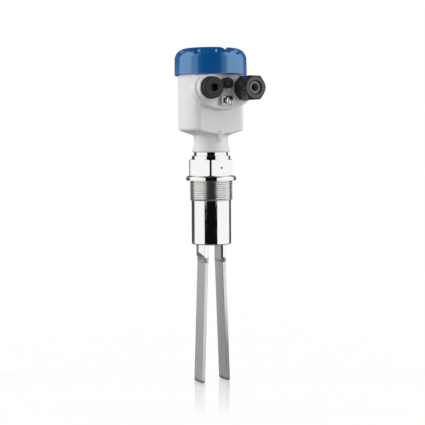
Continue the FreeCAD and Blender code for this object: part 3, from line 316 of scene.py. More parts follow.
def draw(name, corners, closed=True):
    """Draws an outline of (place, rounding) corners and rounds them."""
    places = [Vector(place) * MM for place, rounding in corners]
    piece = start_at(name, places[0])
    for here, there in zip(places, places[1:] + places[:1] if closed else places[1:]):
        bpy.ops.mesh.extrude_region_move(TRANSFORM_OT_translate={"value": there - here})
    bpy.ops.mesh.select_all(action="SELECT")
    bpy.ops.mesh.remove_doubles(threshold=1e-7)
    for number, (place, rounding) in enumerate(corners):
        if rounding:
            here = places[number]
            back = (places[number - 1] - here).normalized()
            ahead = (places[(number + 1) % len(places)] - here).normalized()
            reach = rounding * MM / math.tan(back.angle(ahead) / 2)
            pick(piece, "VERT", lambda point: (point * MM - here).length < SAME_SPOT * MM)
            facets = LEAST_FACETS + int(rounding * FACETS_PER_MM)
            bpy.ops.mesh.bevel(affect="VERTICES", offset=reach, segments=facets)
    only(piece)
    return piece


def turned(name, section, steps, centre=None):
    """Spins a section of (radius, level, rounding): upright, or facing the front at a centre."""
    x, z = centre or (0, 0)
    corners = [((x + radius, -level, z) if centre else (radius, 0, level), rounding)
               for radius, level, rounding in section]
    closed = section[0][0] > 0 or section[-1][0] > 0
    piece = draw(name, corners, closed)
    edit_all(piece)
    bpy.ops.mesh.spin(steps=steps, angle=TURN, center=(x * MM, 0, z * MM),
                      axis=(0, 1, 0) if centre else (0, 0, 1))
    tidy(piece)
    return piece


print("a corner of 1 mm gets", LEAST_FACETS + int(FACETS_PER_MM), "facets")

# %% [markdown]
# ## Cutting, softening and six sides
# Holes and slots are cut with a second body, as a tool would. Hexagons are milled after turning: a
# bar with six sides, cut back by the cones that the lathe leaves at both ends. No real edge is
# sharp, so each is broken a little; that small rounding is what catches the light.

# %% Cutting, softening, hexagons
CONE_STEPS = 240
SPARE = 0.2  # room past a corner or an end that is cut away anyway


def modify(piece, kind, **settings):
    """Adds a modifier with its settings and applies it."""
    only(piece)
    modifier = piece.modifiers.new(kind.lower(), kind)
    for setting, value in settings.items():
        setattr(modifier, setting, value)
    bpy.ops.object.modifier_apply(modifier=modifier.name)


def cut(piece, tool, how="DIFFERENCE"):
    """Cuts, joins or crosses a piece with a tool and throws the tool away."""
    modify(piece, "BOOLEAN", operation=how, solver="EXACT", object=tool)
    bpy.data.objects.remove(tool)


def soften(piece, width, angle, segments=3):
    """Breaks every edge sharper than the angle by a small rounding."""
    modify(piece, "BEVEL", width=width * MM, segments=segments, limit_method="ANGLE",
           angle_limit=math.radians(angle))
    tidy(piece)


def hexagon(name, across, low, high, drop=0, centre=None, turn=30, blank=None):
    """A six-sided block from a round blank, its corners turned back by a drop at both ends."""
    x, z = centre or (0, 0)
    corner = across / math.sqrt(3)
    middle = (low + high) / 2
    bpy.ops.object.select_all(action="DESELECT")
    bpy.ops.mesh.primitive_cylinder_add(vertices=6, radius=corner * MM, depth=(high - low) * MM,
                                        location=(0, 0, 0), rotation=(0, 0, math.radians(turn)))
    piece = added(name)
    bpy.ops.object.transform_apply(rotation=True)
    edit_all(piece)
    if centre:
        bpy.ops.transform.rotate(value=TURN / 4, orient_axis="X", center_override=(0, 0, 0))
    place = (x, -middle, z) if centre else (0, 0, middle)
    bpy.ops.transform.translate(value=Vector(place) * MM)
    bpy.ops.object.mode_set(mode="OBJECT")
    if drop:
        inner = across / 2
        outer = blank or corner + SPARE
        slope = drop * (outer - inner) / ((blank or corner) - inner)
        cones = [(0, low, 0), (inner, low, 0), (outer, low + slope, 0),
                 (outer, high - slope, 0), (inner, high, 0), (0, high, 0)]
        cut(piece, turned(name + "_cones", cones, CONE_STEPS, centre), "INTERSECT")
    return piece


print("cones of", CONE_STEPS, "steps turn the corners back")

# %% [markdown]
# ## Handing a piece over
# Each finished piece gets its finish, rides on a body of the construction and hides the node it
# stands for. Rounded edges would bend the light on the flats beside them. Finer meshes would cure
# that; weighting the normals by the size of the faces does it without a single face more.

# %% Placing
def place_piece(piece, body, slot, finish, *nodes):
    """Gives the piece its finish and body and hides the construction nodes it stands for."""
    modify(piece, "WEIGHTED_NORMAL", keep_sharp=True)
    piece.data.materials.clear()
    piece.data.materials.append(finish)
    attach(piece, body)
    for node in nodes:
        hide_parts(node)
    corners = [piece.matrix_world @ point.co for point in piece.data.vertices]
    size = [max(c[i] for c in corners) - min(c[i] for c in corners) for i in range(3)]
    print(piece.name, [round(v / MM, 1) for v in size], len(piece.data.polygons), "faces")


# %% [markdown]
# ## The process fitting
# One bar of stainless steel carries the pipe thread, the collar that seals against the tank, the
# hexagon for the spanner and the spigot under the housing. The turned body comes first; the hexagon
# is milled across 47 mm from a bar that is a little too small for full corners, so each corner
# keeps a narrow round strip. A punched dot on one flat, filled with black paint, shows how the
# tines face. It could be painted on with a texture, but that needs the flat unwrapped, so the paint
# is a small disc in a drilled hole.

# %% Fitting body
THREAD_FOOT, COLLAR_TOP, HEX_TOP = -22, 5, 23
HEX_ACROSS, HEX_BAR = 47, 26.535  # over the flats, and the radius of the bar
DOT = (0, 14)
fitting = turned("fitting", [
    (5, THREAD_FOOT, 0), (16.65, THREAD_FOOT, 0), (16.65, -27, 0), (19.65, -27, 0),
    (19.65, THREAD_FOOT, 0), (21.3, THREAD_FOOT, 0), (21.3, 0, 0), (27.4, 0, 0.4),
    (27.4, COLLAR_TOP, 1.6), (22, COLLAR_TOP, 0), (22, 6, 0), (21.1, 6, 0), (21.1, 27, 0.35),
    (18.7, 27, 0), (18.7, 31, 0.35), (14.3, 31, 0), (14.3, 51.3, 0.8), (5, 51.3, 0.8),
], 160)
spanner = hexagon("spanner", HEX_ACROSS, COLLAR_TOP, HEX_TOP, 0.7, blank=HEX_BAR)
soften(spanner, 0.2, 20)
cut(fitting, spanner, "UNION")
bpy.ops.mesh.primitive_cylinder_add(vertices=32, radius=1.2 * MM, depth=1.2 * MM,
                                    location=Vector((DOT[0], -23.6, DOT[1])) * MM,
                                    rotation=(TURN / 4, 0, 0))
cut(fitting, bpy.context.object)
tidy(fitting, 30)
place_piece(fitting, "process", "polished_steel", polished, "process_fitting")
mark = turned("mark", [(0, 23.4, 0), (1.15, 23.4, 0.1), (1.15, 23.0, 0), (0, 23.0, 0)], 32, DOT)
place_piece(mark, "process", "black_plastic", black, "process_fitting")

# %% [markdown]
# ## The pipe thread
# The thread runs 11 turns to the inch with flanks of 55 degrees. Stacked rings would look alike
# from afar, but the ridges of a real thread climb. A lathe tool cuts it along a helix, and the same
# is done here: one tooth is screwed upwards, cut square at both ends and crossed with a blank that
# brings the chamfers at both ends.

# %% Pipe thread
THREAD_STEPS = 96
# Shares of the depth, down from the crest, and of the pitch.
TOOTH = [(1, 0), (1, 0.10), (0.12, 0.42), (0, 0.47), (0, 0.53), (0.12, 0.58), (1, 0.90), (1, 1.0)]
RUN_IN, EXTRA_TURNS = 1.5, 4  # turns before the lower end, and turns more than the length holds
PIPE_RADIUS, PIPE_DEPTH, PIPE_PITCH = 23.9, 1.45, 2.309


def screw_thread(name, major, depth, pitch, low, high, blank, centre=None):
    """A thread as a closed ring: a tooth swept along a helix, crossed with a turned blank."""
    first = low - RUN_IN * pitch
    corners = [((major - down * depth, 0, first + up * pitch), 0) for down, up in TOOTH]
    piece = draw(name, corners, closed=False)
    modify(piece, "SCREW", angle=TURN, screw_offset=pitch * MM, use_merge_vertices=True,
           iterations=int((high - low) / pitch) + EXTRA_TURNS,
           steps=THREAD_STEPS, render_steps=THREAD_STEPS)
    for level, upper in ((low - SPARE, False), (high + SPARE, True)):
        edit_all(piece)
        bpy.ops.mesh.remove_doubles(threshold=1e-6)
        bpy.ops.mesh.select_all(action="SELECT")
        bpy.ops.mesh.bisect(plane_co=(0, 0, level * MM), plane_no=(0, 0, 1), use_fill=True,
                            clear_inner=not upper, clear_outer=upper)
        bpy.ops.object.mode_set(mode="OBJECT")
    if centre:
        edit_all(piece)
        bpy.ops.transform.rotate(value=-TURN / 4, orient_axis="X", center_override=(0, 0, 0))
        bpy.ops.transform.translate(value=Vector((centre[0], 0, centre[1])) * MM)
        bpy.ops.object.mode_set(mode="OBJECT")
    tidy(piece, 25)
    cut(piece, turned(name + "_blank", blank, THREAD_STEPS, centre), "INTERSECT")
    tidy(piece, 25)
    return piece


thread = screw_thread("pipe_thread", PIPE_RADIUS, PIPE_DEPTH, PIPE_PITCH, THREAD_FOOT, 0, [
    (21.3, THREAD_FOOT, 0), (22.3, THREAD_FOOT, 0), (23.95, -20.2, 0), (23.95, -0.4, 0),
    (23.5, 0, 0), (21.3, 0, 0),
])
place_piece(thread, "process", "polished_steel", threaded, "process_fitting")

# %% [markdown]
# ## The tube
# A polished tube hangs under the thread and keeps the drive dry. A stretched cylinder would do for
# its wall, but its lower lip is rounded, and the section gives wall and lip in one spin.

# %% Tube
TUBE_FOOT, ROUND = -70, 192  # steps of the largest mirrors, so that no facet shows
tube = turned("tube", [
    (19.7, TUBE_FOOT, 0), (21.7, TUBE_FOOT, 1.7), (21.7, THREAD_FOOT, 0), (19.7, THREAD_FOOT, 0),
], ROUND)
place_piece(tube, "process", "polished_steel", polished, "sensor_tube")

# %% [markdown]
# ## The membrane and the roots
# A membrane closes the tube and carries two roots, which take the tines. They are one piece of
# steel: turned first, then milled to two halves with sloping shoulders and chamfers along the
# upright corners. A section can't be spun to that. So each root is a block, crossed with the turned
# bar, and a wedge cuts its shoulder.

# %% Membrane and roots
SIDES = {"left": -1, "right": 1}
ROOT_FOOT, HALF_WIDTH, HALF_GAP, BAR = -87, 9, 7.8, 16.6


def block(name, low, high):
    """A box between two corners."""
    low, high = Vector(low), Vector(high)
    bpy.ops.object.select_all(action="DESELECT")
    bpy.ops.mesh.primitive_cube_add(size=1, location=(0, 0, 0))
    piece = added(name)
    edit_all(piece)
    bpy.ops.transform.resize(value=(high - low) * MM)
    bpy.ops.transform.translate(value=(low + high) / 2 * MM)
    bpy.ops.object.mode_set(mode="OBJECT")
    return piece


def prism(name, corners, push):
    """Draws an outline of (place, rounding) corners, fills it and pushes it out to a solid."""
    piece = draw(name, corners)
    edit_all(piece)
    bpy.ops.mesh.edge_face_add()
    bpy.ops.mesh.extrude_region_move(TRANSFORM_OT_translate={"value": Vector(push) * MM})
    tidy(piece)
    return piece


membrane = turned("membrane", [
    (0, TUBE_FOOT, 0), (19.65, TUBE_FOOT, 0), (19.65, -64, 0), (17.65, -64, 0), (17.65, -68, 0),
    (0, -68, 0),
], ROUND)
place_piece(membrane, "process", "polished_steel", polished, "fork_membrane")
shoulder = [(BAR, -78.6), (22, -78.6), (22, -92), (12.5, -92), (12.5, -84.7)]
for name, side in SIDES.items():
    near, far = sorted((side * HALF_GAP, side * 20))
    root = block("root_" + name, (near, -HALF_WIDTH, ROOT_FOOT), (far, HALF_WIDTH, -69.5))
    pick(root, "EDGE", lambda a, b: abs(a.z - b.z) > 5 and abs(abs(a.x) - HALF_GAP) < 0.05)
    bpy.ops.mesh.bevel(offset=1.6 * MM, segments=1)
    only(root)
    cut(root, turned("bar", [(0, -88, 0), (BAR, -88, 0), (BAR, -69, 0), (0, -69, 0)], ROUND),
        "INTERSECT")
    cut(root, prism("wedge", [((side * x, -20, z), 0) for x, z in shoulder], (0, 40, 0)))
    soften(root, 0.15, 32, 2)
    place_piece(root, "process", "polished_steel", polished, "fork_membrane")

# %% [markdown]
# ## The tines
# The tines are flat blades, sheared from sheet, that lean outwards; their tips are chamfered. A box
# with shifted ends would give the same blade, but drawing it from the front shows the lean at once.
# The narrow faces turn grey towards the tips and the tips end dark, reflecting a dark room. So
# each blade gets its own ground steel, a painted reflection darkened by place and by normal.

# %% Tines
THICK, TIP, TOP_X, TIP_X = 4, -222.4, 10.85, 15.8
# Where the painted darker reflection goes: narrow faces of the lower half, and the tip ends.
NARROW_FACE = (-0.5, -0.9)  # the normal's Y, from no to full share
LOWER_HALF, LAST_BIT = (-130, -185), (-217.5, -221.8)  # levels, from no to full share
# Painted reflection: the base colours that the steel is darkened to.
NARROW_REFLECTION_GREY = {"left": (0.68, 0.68, 0.68), "right": (0.3, 0.3, 0.3)}
TIP_REFLECTION_GREY = (0.2, 0.2, 0.2)


def ranged(tree, value, start, end, low=0.0, high=1.0):
    """Runs from low to high while a value runs from start to end."""
    scale = tree.nodes.new("ShaderNodeMapRange")
    limits = {"From Min": start, "From Max": end, "To Min": low, "To Max": high}
    for socket, limit in limits.items():
        scale.inputs[socket].default_value = limit
    tree.links.new(value, scale.inputs["Value"])
    return scale.outputs["Result"]


def along(tree, source, axis):
    """One coordinate of the place or the normal of a finish."""
    parts = tree.nodes.new("ShaderNodeSeparateXYZ")
    tree.links.new(tree.nodes["place"].outputs[source], parts.inputs["Vector"])
    return parts.outputs[axis]


def paired(tree, how, one, two):
    """Multiplies two values, or takes the larger one."""
    pair = tree.nodes.new("ShaderNodeMath")
    pair.operation = how
    tree.links.new(one, pair.inputs[0])
    tree.links.new(two, pair.inputs[1])
    return pair.outputs["Value"]


def paint_dark_reflection(finish, share, colour):
    """Darkens the base colour by a share: a painted darker reflection."""
    tree = finish.node_tree
    skin = tree.nodes["Principled BSDF"].inputs["Base Color"]
    blend = tree.nodes.new("ShaderNodeMix")
    blend.data_type = "RGBA"
    before, after = blend.inputs[6], blend.inputs[7]
    before.default_value = skin.default_value
    after.default_value = (*colour, 1)
    if skin.is_linked:
        tree.links.new(skin.links[0].from_socket, before)
    tree.links.new(share, blend.inputs["Factor"])
    tree.links.new(blend.outputs[2], skin)


for name, side in SIDES.items():
    top, tip, half = side * TOP_X, side * TIP_X, THICK / 2
    front = [(top - half, ROOT_FOOT), (top + half, ROOT_FOOT), (tip + half, TIP), (tip - half, TIP)]
    blade = prism("blade_" + name, [((x, -HALF_WIDTH, z), 0) for x, z in front],
                  (0, 2 * HALF_WIDTH, 0))
    pick(blade, "EDGE", lambda a, b: a.z < -200 and b.z < -200)
    bpy.ops.mesh.bevel(offset=1.1 * MM, segments=1)
    soften(blade, 0.25, 40)
    skin = ground_steel("ground_" + name)
    tree = skin.node_tree
    level = along(tree, "Object", "Z")
    facing = ranged(tree, along(tree, "Normal", "Y"), *NARROW_FACE)
    lower = ranged(tree, level, *(v * MM for v in LOWER_HALF))
    # Painted reflection: narrow faces grey towards the tip, and the tip ends dark.
    paint_dark_reflection(skin, paired(tree, "MULTIPLY", facing, lower), NARROW_REFLECTION_GREY[name])
    paint_dark_reflection(skin, ranged(tree, level, *(v * MM for v in LAST_BIT)), TIP_REFLECTION_GREY)
    place_piece(blade, "process", "satin_steel", skin, "tine_" + name)

# %% [markdown]
# ## The welds
# Each blade is welded on all round, and the bead stays as the torch left it: lumpy and mottled. It
# could be sculpted, but code can't feel its way along a seam. A soft block round the joint is cut
# into even cells instead, and a cloud pattern pushes them in and out.

# %% Weld beads
LUMP, PUSH, CELL = 3.0, 1.5, 0.35
lumps = bpy.data.textures.new("lumps", "CLOUDS")
lumps.noise_scale = LUMP * MM


def even_cells(piece, size):
    """Remeshes a piece into even cells."""
    modify(piece, "REMESH", mode="VOXEL", voxel_size=size * MM)


def flow(piece, passes):
    """Lets the cells settle towards their neighbours."""
    modify(piece, "SMOOTH", factor=0.5, iterations=passes)
    bpy.ops.object.shade_smooth()


for name, side in SIDES.items():
    inner, outer = sorted((side * 8.4, side * 13.3))
    bead = block("weld_" + name, (inner, -9.5, -90.3), (outer, 9.5, -83.6))
    soften(bead, 1.4, 40, 4)
    even_cells(bead, CELL)
    modify(bead, "DISPLACE", texture=lumps, strength=PUSH * MM, mid_level=0.55)
    flow(bead, 3)
    place_piece(bead, "process", "satin_steel", weld, "tine_" + name)

# %% [markdown]
# ## The housing
# The shell is one moulding: neck, shoulder, drum with a flat front, and the raised plateau for the
# two cable entries. Moulded plastic has no sharp inside corner, and the plateau flows into the
# drum. Bevels would have to follow every crossing curve. The construction mesh is therefore
# remeshed into even cells and smoothed, which melts the corners into the fillets a mould maker
# would grind.

# %% Housing
def copy_of(name, node):
    """A copy of a construction mesh, its triangles merged back into whole faces."""
    piece = bpy.data.objects[node].copy()
    piece.data = piece.data.copy()
    piece.name = piece.data.name = name
    bpy.context.collection.objects.link(piece)
    tidy(piece)
    edit_all(piece)
    bpy.ops.mesh.dissolve_limited(angle_limit=math.radians(0.5))
    bpy.ops.object.mode_set(mode="OBJECT")
    return piece


shell = copy_of("shell", "housing")
even_cells(shell, 0.8)
flow(shell, 3)
place_piece(shell, "housing", "grey_housing", grey, "housing")

# %% [markdown]
# ## The rib
# A rib under the front stiffens the neck. It is thin and keeps crisp edges in the mould, which the
# melted shell would lose. So it is a piece of its own, drawn from the side and given its thickness,
# and then its edges are broken.

# %% Rib
RIB_HALF = 1.9
side_view = [(-15, 43.6, 0), (-21.4, 43.6, 1.0), (-24.9, 54.4, 0), (-15, 54.4, 0)]
rib = prism("rib", [((-RIB_HALF, y, z), rounding) for y, z, rounding in side_view],
            (2 * RIB_HALF, 0, 0))
soften(rib, 0.4, 40)
place_piece(rib, "housing", "grey_housing", grey, "housing")

# %% [markdown]
# ## The lid
# The lid screws down over the rim. It is a cup with a round shoulder, and ten thumb dimples help
# the hand. A dimple could be pushed in by moving points, but its rim would blur. A ball, one for
# each place round the shoulder, cuts it with a clean round edge.

# %% Lid
LID_TOP, LID_FOOT, SHOULDER = 143, 113.8, 12
LID_CLOCK, SLOPE = math.radians(2.5), math.radians(35)
DIMPLES, BALL, BITE = 10, 6, 1.5
cap = turned("cap", [
    (0, 132, 0), (32.4, 132, 0), (32.4, 131, 0), (36.4, 131, 0), (36.4, LID_FOOT, 0.3),
    (39.48, LID_FOOT, 1.4), (39.0, LID_TOP, SHOULDER), (24.5, LID_TOP, 0.8), (24.5, 135, 3),
    (0, 135, 0),
], 360)
reach = SHOULDER + BALL - BITE
radius = 27.0 + reach * math.cos(SLOPE)
for number in range(DIMPLES):
    angle = LID_CLOCK + number * TURN / DIMPLES
    spot = Vector((radius * math.cos(angle), radius * math.sin(angle),
                   LID_TOP - SHOULDER + reach * math.sin(SLOPE)))
    bpy.ops.object.select_all(action="DESELECT")
    bpy.ops.mesh.primitive_uv_sphere_add(segments=64, ring_count=32, radius=BALL * MM,
                                         location=spot * MM)
    ball = bpy.context.object
    bpy.ops.object.transform_apply(location=True)
    cut(cap, ball)
print("cap has", DIMPLES, "dimples,", BITE, "mm deep")

# %% [markdown]
# ## The lid's notches
# Two notches take a bar to turn the lid. They could be part of the section if they ran all round;
# they cross only the rim, so a V-shaped bar cuts each. The cuts leave the same points in another
# order each run, and the rounding of the edges depends on it. Sorting the mesh by distance from one
# spot off every axis makes each run alike.

# %% Lid notches
HALF_NOTCH, NOTCH_ROOT, OVER_LID = 6.2, 135.4, 144
SORT_FROM = (0.31, 0.17, 0.53)  # in metres


def notch_tool(angle):
    """A V-shaped bar that lies across one side of the lid."""
    outline = [((-HALF_NOTCH, -12, OVER_LID), 0), ((0, -12, NOTCH_ROOT), 0.8),
               ((HALF_NOTCH, -12, OVER_LID), 0)]
    tool = prism("notch", outline, (0, -35, 0))
    edit_all(tool)
    bpy.ops.transform.rotate(value=-angle, orient_axis="Z", center_override=(0, 0, 0))
    bpy.ops.object.mode_set(mode="OBJECT")
    return tool


def settle(piece):
    """Sorts points, edges and faces, so that what follows doesn't depend on their order."""
    edit_all(piece)
    bpy.context.scene.cursor.location = SORT_FROM
    bpy.ops.mesh.sort_elements(type="CURSOR_DISTANCE", elements={"VERT", "EDGE", "FACE"})
    bpy.context.scene.cursor.location = (0, 0, 0)
    bpy.ops.object.mode_set(mode="OBJECT")


for angle in (LID_CLOCK, LID_CLOCK + TURN / 2):
    cut(cap, notch_tool(angle))
settle(cap)
soften(cap, 0.25, 30, 2)
place_piece(cap, "lid", "blue_lid", blue, "lid")

# %% [markdown]
# ## The blind plug
# The spare cable entry is closed by a screwed plug with a hexagon socket, moulded in black
# polyamide. A plain disc would do from afar, but the chamfer and the socket catch the light, and
# the thread shows once the plug is screwed out. So it is spun like the steel pieces and gets a
# thread.

# %% Blind plug
PLUG, SMALL_ROUND = (-20.5, 99.2), 96
PLUG_FOOT, PLUG_SEAT, PLUG_FACE = 30, 39, 45.3
plug = turned("plug", [
    (0, PLUG_FACE, 0), (11.5, PLUG_FACE, 1.1), (11.5, PLUG_SEAT, 0.3), (9.0, PLUG_SEAT, 0),
    (9.0, PLUG_FOOT, 0.5), (6.5, PLUG_FOOT, 0), (6.5, 36, 0), (0, 36, 0),
], SMALL_ROUND, PLUG)
cut(plug, hexagon("socket", 8, 38.3, 47, centre=PLUG, turn=0))
soften(plug, 0.2, 50)
place_piece(plug, "blind_plug", "black_plastic", black, "blind_plug")
plug_thread = screw_thread("plug_thread", 9.7, 0.7, 1.5, PLUG_FOOT, PLUG_SEAT, [
    (8.9, PLUG_FOOT, 0), (9.1, PLUG_FOOT, 0), (9.7, 30.8, 0), (9.7, 38.2, 0), (9.1, 38.8, 0),
    (9.1, PLUG_SEAT, 0), (8.9, PLUG_SEAT, 0),
], PLUG)
place_piece(plug_thread, "blind_plug", "black_plastic", black, "blind_plug")

# %% [markdown]
# ## The cable gland
# Body, nut and rubber insert make the gland. Tightening the nut squeezes the insert onto a cable.
# The body's hexagon is moulded, so its edges are softer than on the steel one. Collar and neck
# could be spun in one section with a round collar, but a spanner needs flats: the two are made
# apart, joined and bored.

# %% Gland body
GLAND, GLAND_ACROSS = (20.5, 99.2), 25
gland = hexagon("gland", GLAND_ACROSS, 39, 44.5, 0.5, GLAND)
soften(gland, 0.25, 20)
neck = turned("gland_neck", [
    (7, 30, 0), (9.7, 30, 0.6), (9.7, 40, 0), (9.3, 40, 0), (9.3, 56.5, 0.4), (7, 56.5, 0.3),
], SMALL_ROUND, GLAND)
cut(gland, neck, "UNION")
hole = turned("gland_hole", [(0, 29, 0), (7, 29, 0), (7, 57, 0), (0, 57, 0)], SMALL_ROUND, GLAND)
cut(gland, hole)
tidy(gland, 30)
place_piece(gland, "housing", "black_plastic", black, "gland_body")

# %% [markdown]
# ## The gland's nut and insert
# The nut has a cone at its front that presses on the rubber insert. A bevel on the six edges would
# leave straight lines; crossing a six-sided bar with a turned blank gives the curved lines that a
# real chamfer has on six flats. The insert is soft and round, so a spun section is enough.

# %% Gland nut and insert
NUT_BACK, NUT_FACE = 46, 61
nut = hexagon("nut", GLAND_ACROSS, NUT_BACK, NUT_FACE, centre=GLAND)
dome = turned("dome", [
    (9.6, NUT_BACK, 0), (12.5, NUT_BACK, 0), (14.5, 46.5, 0), (14.5, 58.1, 0.5),
    (11.6, NUT_FACE, 0.5), (7.3, NUT_FACE, 0.8), (7.3, 59.5, 0), (9.6, 59.3, 0),
], ROUND, GLAND)
cut(nut, dome, "INTERSECT")
soften(nut, 0.3, 25)
place_piece(nut, "gland_nut", "black_plastic", glossy_black, "gland_nut")

grip = turned("grip", [
    (4.1, 45, 0), (6.7, 45, 0.3), (6.7, 56.5, 0), (9.3, 56.5, 0.3), (9.3, 57.9, 0.3),
    (6.5, 57.9, 0), (6.1, 59.4, 0.4), (4.4, 59.4, 0.3), (4.1, 58.3, 0),
], SMALL_ROUND, GLAND)
place_piece(grip, "gland_insert", "grey_rubber", insert_grey, "gland_insert")

# %% [markdown]
# ## The vent filter
# A small black cap between the entries lets the housing breathe. It has a rounded face and a fine
# groove where the membrane is held. The groove is part of the section, since a later cut would
# need a ring as a tool.

# %% Filter
VENT = (0, 104.5)
vent = turned("vent", [
    (0, 41.5, 0), (5.8, 41.5, 2.2), (5.8, 37.4, 0.15), (5.4, 37.2, 0), (5.4, 36.6, 0),
    (5.8, 36.4, 0.15), (5.8, 32, 0.2), (3.7, 32, 0), (3.7, 24, 0.4), (0, 24, 0),
], 72, VENT)
place_piece(vent, "housing", "black_plastic", black, "filter_element")

# %% [markdown]
# ## The earth terminal
# A bent strip holds a clamp and a screw for the earth wire. The strip is sheet metal, so the bends
# and the sheared edges are rounded. It could be bent from a flat plate with a modifier, but its
# outline from above already shows both bends, so it is drawn and pushed up. The screw's cross is
# cut by two blocks.

# %% Earth terminal
EARTH = (0, 86)
HEAD, SHANK = 3.0, 11  # thickness of the screw's head and length of its shank
SLOT, ARM = 1.1, 5.6  # width and length of the screw's cross
bends = [(-6.5, -32, 1.6), (-6.5, -37, 0), (-5.3, -37, 0), (-5.3, -33.2, 0.4),
         (5.3, -33.2, 0.4), (5.3, -37, 0), (6.5, -37, 0), (6.5, -32, 1.6)]
strip = prism("strip", [((x, y, 81), rounding) for x, y, rounding in bends], (0, 0, 10))
soften(strip, 0.2, 40, 2)
place_piece(strip, "housing", "terminal_metal", nickel, "ground_bracket")

saddle = copy_of("saddle", "ground_clamp")
soften(saddle, 0.25, 40)
place_piece(saddle, "ground_clamp", "terminal_metal", nickel, "ground_clamp")

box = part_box("ground_screw")
back = -(box[0][1] / MM) - HEAD
screw = turned("earth_screw", [
    (0, back + HEAD, 0), (4, back + HEAD, 1.2), (4, back, 0.2), (2, back, 0),
    (2, back - SHANK, 0.4), (0, back - SHANK, 0),
], 64, EARTH)
for wide, high in ((ARM, SLOT), (SLOT, ARM)):
    cut(screw, block("slot", (-wide / 2, -back - 4, EARTH[1] - high / 2),
                     (wide / 2, -back - 1.7, EARTH[1] + high / 2)))
tidy(screw, 30)
place_piece(screw, "ground_screw", "terminal_metal", nickel, "ground_screw")

# %% [markdown]
# ## The camera
# The photograph is a catalogue picture, taken from far with a long lens, so the edges stay almost
# parallel. The camera could be moved by eye; here it stands at an angle, a distance and a height
# that were measured off the photo, and is rolled a little, as the photo is.

# %% Camera
VIEW = math.radians(-29)
AWAY, EYE_LEVEL, ASIDE, AIM_LEVEL = 1.2, 0.042, 0.0013, -0.0355  # in metres
LENS, SENSOR, ROLL = 92.6, 36, math.radians(-0.3)
across = Vector((math.cos(VIEW), math.sin(VIEW), 0))
towards = Vector((math.sin(VIEW), -math.cos(VIEW), 0))
eye = towards * AWAY + Vector((0, 0, EYE_LEVEL))
aim = across * ASIDE + Vector((0, 0, AIM_LEVEL))
camera = bpy.data.cameras.new("camera")
camera.lens = LENS
camera.sensor_width = SENSOR
viewer = bpy.data.objects.new("camera", camera)
bpy.context.collection.objects.link(viewer)
look = (aim - eye).to_track_quat("-Z", "Y").to_matrix().to_4x4()
viewer.matrix_world = Matrix.Translation(eye) @ look @ Matrix.Rotation(ROLL, 4, "Z")
bpy.context.scene.camera = viewer
print("camera at", [round(v, 3) for v in eye], "with a lens of", LENS, "mm")

# %% [markdown]
# ## The lamps
# Two wide soft boxes left and right light the object, and a weak one in front fills the shade. The
# lamps light the plastic only: what the steel mirrors is made of cards in the next step, so that
# each can be set by itself.

# %% Soft boxes
LAMP_AIM = Vector((0, 0, -0.02))


def round_about(angle, radius, height):
    """A place round the object, an angle to the right of the camera, in metres."""
    turn = math.radians(angle)
    return (towards * math.cos(turn) + across * math.sin(turn)) * radius + Vector((0, 0, height))


def soft_box(name, angle, height, size, power, away=1.0):
    """A lamp with a width and a height, aimed at the middle of the object."""
    place = round_about(angle, away, height)
    lamp = bpy.data.lights.new(name, "AREA")
    lamp.shape = "RECTANGLE"
    lamp.size, lamp.size_y = size
    lamp.energy = power
    stand = bpy.data.objects.new(name, lamp)
    bpy.context.collection.objects.link(stand)
    facing = (LAMP_AIM - place).to_track_quat("-Z", "Y").to_matrix().to_4x4()
    stand.matrix_world = Matrix.Translation(place) @ facing
    stand.visible_glossy = False
    print(name, [round(v, 2) for v in place], power, "W")


soft_box("box_left", -80, 0.25, (1.68, 1.8), 15.4)
soft_box("box_right", 80, 0.25, (1.75, 1.8), 15.6)
soft_box("box_front", 0, 0.0, (1.0, 0.5), 0.9, 1.5)

# %% [markdown]
# ## The cards
# Polished steel has no colour of its own: it shows the room. In the photo that is a dark room in
# front, seen as a black stripe, between two bright walls. A picture of a studio could stand for it,
# but glowing cards, seen in reflections only, can be shaped until each stripe sits where the photo
# has it. The small ones serve the lid, the roots and the edges of the hexagon.

# %% Cards
SHEET, CARD_STEPS = 3.2, 24
CARDS = {  # first and last angle, radius, low and high end in metres, brightness
    "front": (-40, 35, 0.97, -0.6, 1.4, 0.004),
    "left": (-114, -40, 0.97, -0.6, 1.3, 1.05),
    "right": (35, 126, 0.97, -0.6, 1.3, 1.05),
    "dim_left": (-62, -40, 0.94, 0.125, 1.3, 0.55),
    "dim_right": (35, 52, 0.94, 0.125, 1.3, 0.3),
    "root_left": (-136, -114, 0.94, -0.26, -0.156, 0.4),
    "root_right": (40, 80, 0.94, -0.28, -0.19, 1.35),
    "edge_left": (-42, -26, 0.93, -0.069, 0.12, 1.0),
    "edge_right": (26, 42, 0.93, -0.069, 0.12, 1.0),
    "back_low": (126, 246, 1.5, -0.6, 0.06, 0.08),
    "back_high": (126, 246, 1.5, 0.2, 1.4, 0.12),
}
SHEETS = {"top": (1.4, 0.03), "below": (-0.6, 0.15)}  # level in metres, brightness


def mirrored_only(wall, brightness):
    """Makes a wall glow evenly, in reflections only."""
    paint = bpy.data.materials.new(wall.name)
    paint.use_nodes = True
    tree = paint.node_tree
    glow = tree.nodes.new("ShaderNodeEmission")
    glow.inputs["Color"].default_value = (brightness, brightness, brightness, 1)
    tree.links.new(glow.outputs["Emission"], tree.nodes["Material Output"].inputs["Surface"])
    wall.data.materials.append(paint)
    wall.visible_camera = wall.visible_diffuse = wall.visible_shadow = False
    wall.visible_transmission = wall.visible_volume_scatter = False


